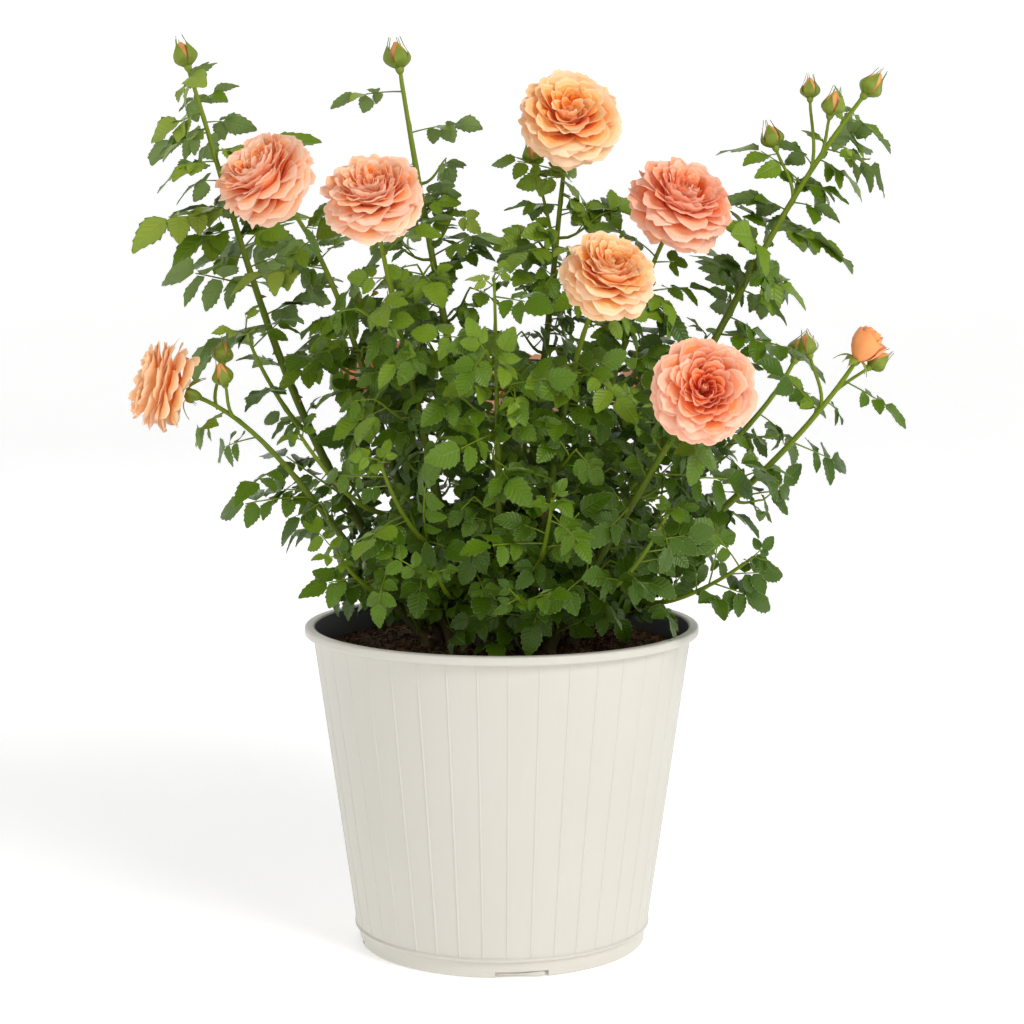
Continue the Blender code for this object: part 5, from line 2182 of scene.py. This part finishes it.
def stack(build, place, profile, sides, finish, swirl=0.0):
    """A closed stack of rings about the place's Z. A swirl adds three folds that wind up round it."""
    rings = []
    for i, (z, r) in enumerate(profile):
        ring = []
        for k in range(sides):
            angle = math.tau * k / sides
            fold = ((angle * 3 / math.tau + z * 0.11) % 1) * swirl * min(1, i / 2)
            spot = Vector((math.cos(angle) * (r + fold), math.sin(angle) * (r + fold), z))
            ring.append(place @ (spot * MM))
        rings.append(build.ring(ring, i / len(profile)))
    for a, b in zip(rings, rings[1:]):
        for k in range(sides):
            build.face((a[k - 1], a[k], b[k], b[k - 1]), finish)
    build.face(rings[0][::-1], finish)
    build.face(rings[-1], finish)


def sepals(build, place, base, tip, base_lean, tip_lean, wide, rng, pull=0.42):
    turn = rng.uniform(0, math.tau)
    for i in range(5):
        end = (tip[0] + rng.uniform(-0.8, 0.8), tip[1] + rng.uniform(-1.6, 1.2))
        line = swept(base, end, base_lean, tip_lean + rng.uniform(-12, 12), pull)
        sway = rng.uniform(-0.5, 0.5)
        around = turn + math.tau * (i + rng.uniform(-0.06, 0.06)) / 5

        def half_width(u):
            return max(0.3 - 0.2 * u, wide * math.sin(math.pi * min(1, 0.2 + u * 0.92)) ** 1.1)

        def rise(u, v):
            return sway * u - 0.5 * v * v

        sheet(build, place, around, line, half_width, rise, lambda u, v: 0, SEPAL_ROWS, 4, (0,) * 8)


def bud(green, petals, place, size, rng):
    grown = place @ Matrix.Scale(size, 4)
    stack(green, grown, HIP, 10, 0)
    stack(petals, grown, BUD_EGG, 18, 0, BUD_SWIRL)
    sepals(green, grown, (2.4, 4.2), (rng.uniform(1.4, 3.6), 23.5), 30, 100, 4.3, rng, 0.66)


print("a bud is", BUD_EGG[-1][0], "mm tall without its sepals")

# %% [markdown]
# ## The ends of the shoots
#
# A bloom gets its hip and bent sepals here, the half-open one a bud's hip with open sepals, and a bud
# all of its parts. More buds stand on stalks that leave a cane below its tip, as the table of side buds
# says.

# %% Ends of the shoots
BUD_STALK = 0.0012
BUD_SINK = 0.001
green = Build()
bud_petals = Build()
bud_stalks = Build()
for name, (route, _, cane, ends) in SHOOTS.items():
    rng = random.Random(f"{name}_ends")
    if ends == "flower":
        place = head_place(cane)
        stack(green, place, BLOOM_HIP, 12, 0)
        sepals(green, place, (3.0, -16.2), (15.0, -23.0), 25, -50, 2.7, rng)
    elif ends == "bud":
        heading = route.heading(route.length)
        foot = route.at(route.length) - heading * BUD_SINK
        if cane == "right_low":
            place = upright(foot, heading)
            stack(green, place, HIP, 10, 0)
            sepals(green, place, (2.4, 4.6), (13.0, -2.0), 20, -60, 3.0, rng)
        else:
            bud(green, bud_petals, upright(foot, heading), rng.uniform(0.98, 1.08), rng)
    side_buds = () if name.startswith("side") else SIDE_BUDS.get(cane, ())
    for below, bearing, elevation, length in side_buds:
        start = route.at(route.length - below)
        lean = direction(bearing, elevation)
        end = start + lean * length
        first = route.heading(route.length - below)
        line = bent(start, (first + lean).normalized(), end, lean, 8)
        bud_stalks.tube(line, lambda s: BUD_STALK * (1 - 0.2 * s), 8, lambda s: 0.1)
        bud(green, bud_petals, upright(end - lean * BUD_SINK, lean), rng.uniform(0.78, 0.95), rng)
print(len(green.faces), "faces of sepals and hips,", len(bud_petals.faces), "of bud petals")

# %% [markdown]
# ## Finishes of buds and sepals
#
# Sepals are a warmer, yellower green than the leaves, and bud petals a deeper peach than open ones. Both
# are clouded softly and finely grained. The bud stalks wear the canes' skin.

# %% Bud and sepal finishes
sepal_skin = Finish("sepal_skin")
sepal_cloud = sepal_skin.speckle(240, detail=2)
sepal_skin.show(
    Base_Color=sepal_skin.blend(sepal_cloud, tone(98, 124, 18), tone(144, 158, 50)),
    Roughness=0.5 + sepal_cloud * 0.2,
    Normal=sepal_skin.relief(sepal_skin.speckle(1800, detail=2), 0.0002, 0.5),
)
bud_skin = Finish("bud_petal_skin")
bud_cloud = bud_skin.speckle(120, detail=2, stretch=(1, 1, 0.5))
bud_skin.show(
    Base_Color=bud_skin.blend(bud_cloud, tone(222, 142, 62), tone(244, 178, 112)),
    Roughness=0.45 + bud_cloud * 0.15,
    Normal=bud_skin.relief(bud_skin.speckle(1500, detail=2), 0.0002, 0.5),
)
for name, build, finish, slot in (
    ("sepals_and_hips", green, sepal_skin, "foliage_and_flowers"),
    ("bud_petals", bud_petals, bud_skin, "foliage_and_flowers"),
    ("bud_stalks", bud_stalks, cane_skin, "cane_skin"),
):
    mesh = build.mesh(name)
    smooth(mesh, 70)
    piece(name, mesh, (finish,))

# %% Finish
DRESSED_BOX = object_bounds()
boxes = {"solids": [list(v) for v in SOLID_BOX], "dressed": [list(v) for v in DRESSED_BOX]}
for label, corners in boxes.items():
    print(label, [[round(v * 1000, 1) for v in corner] for corner in corners], "mm")
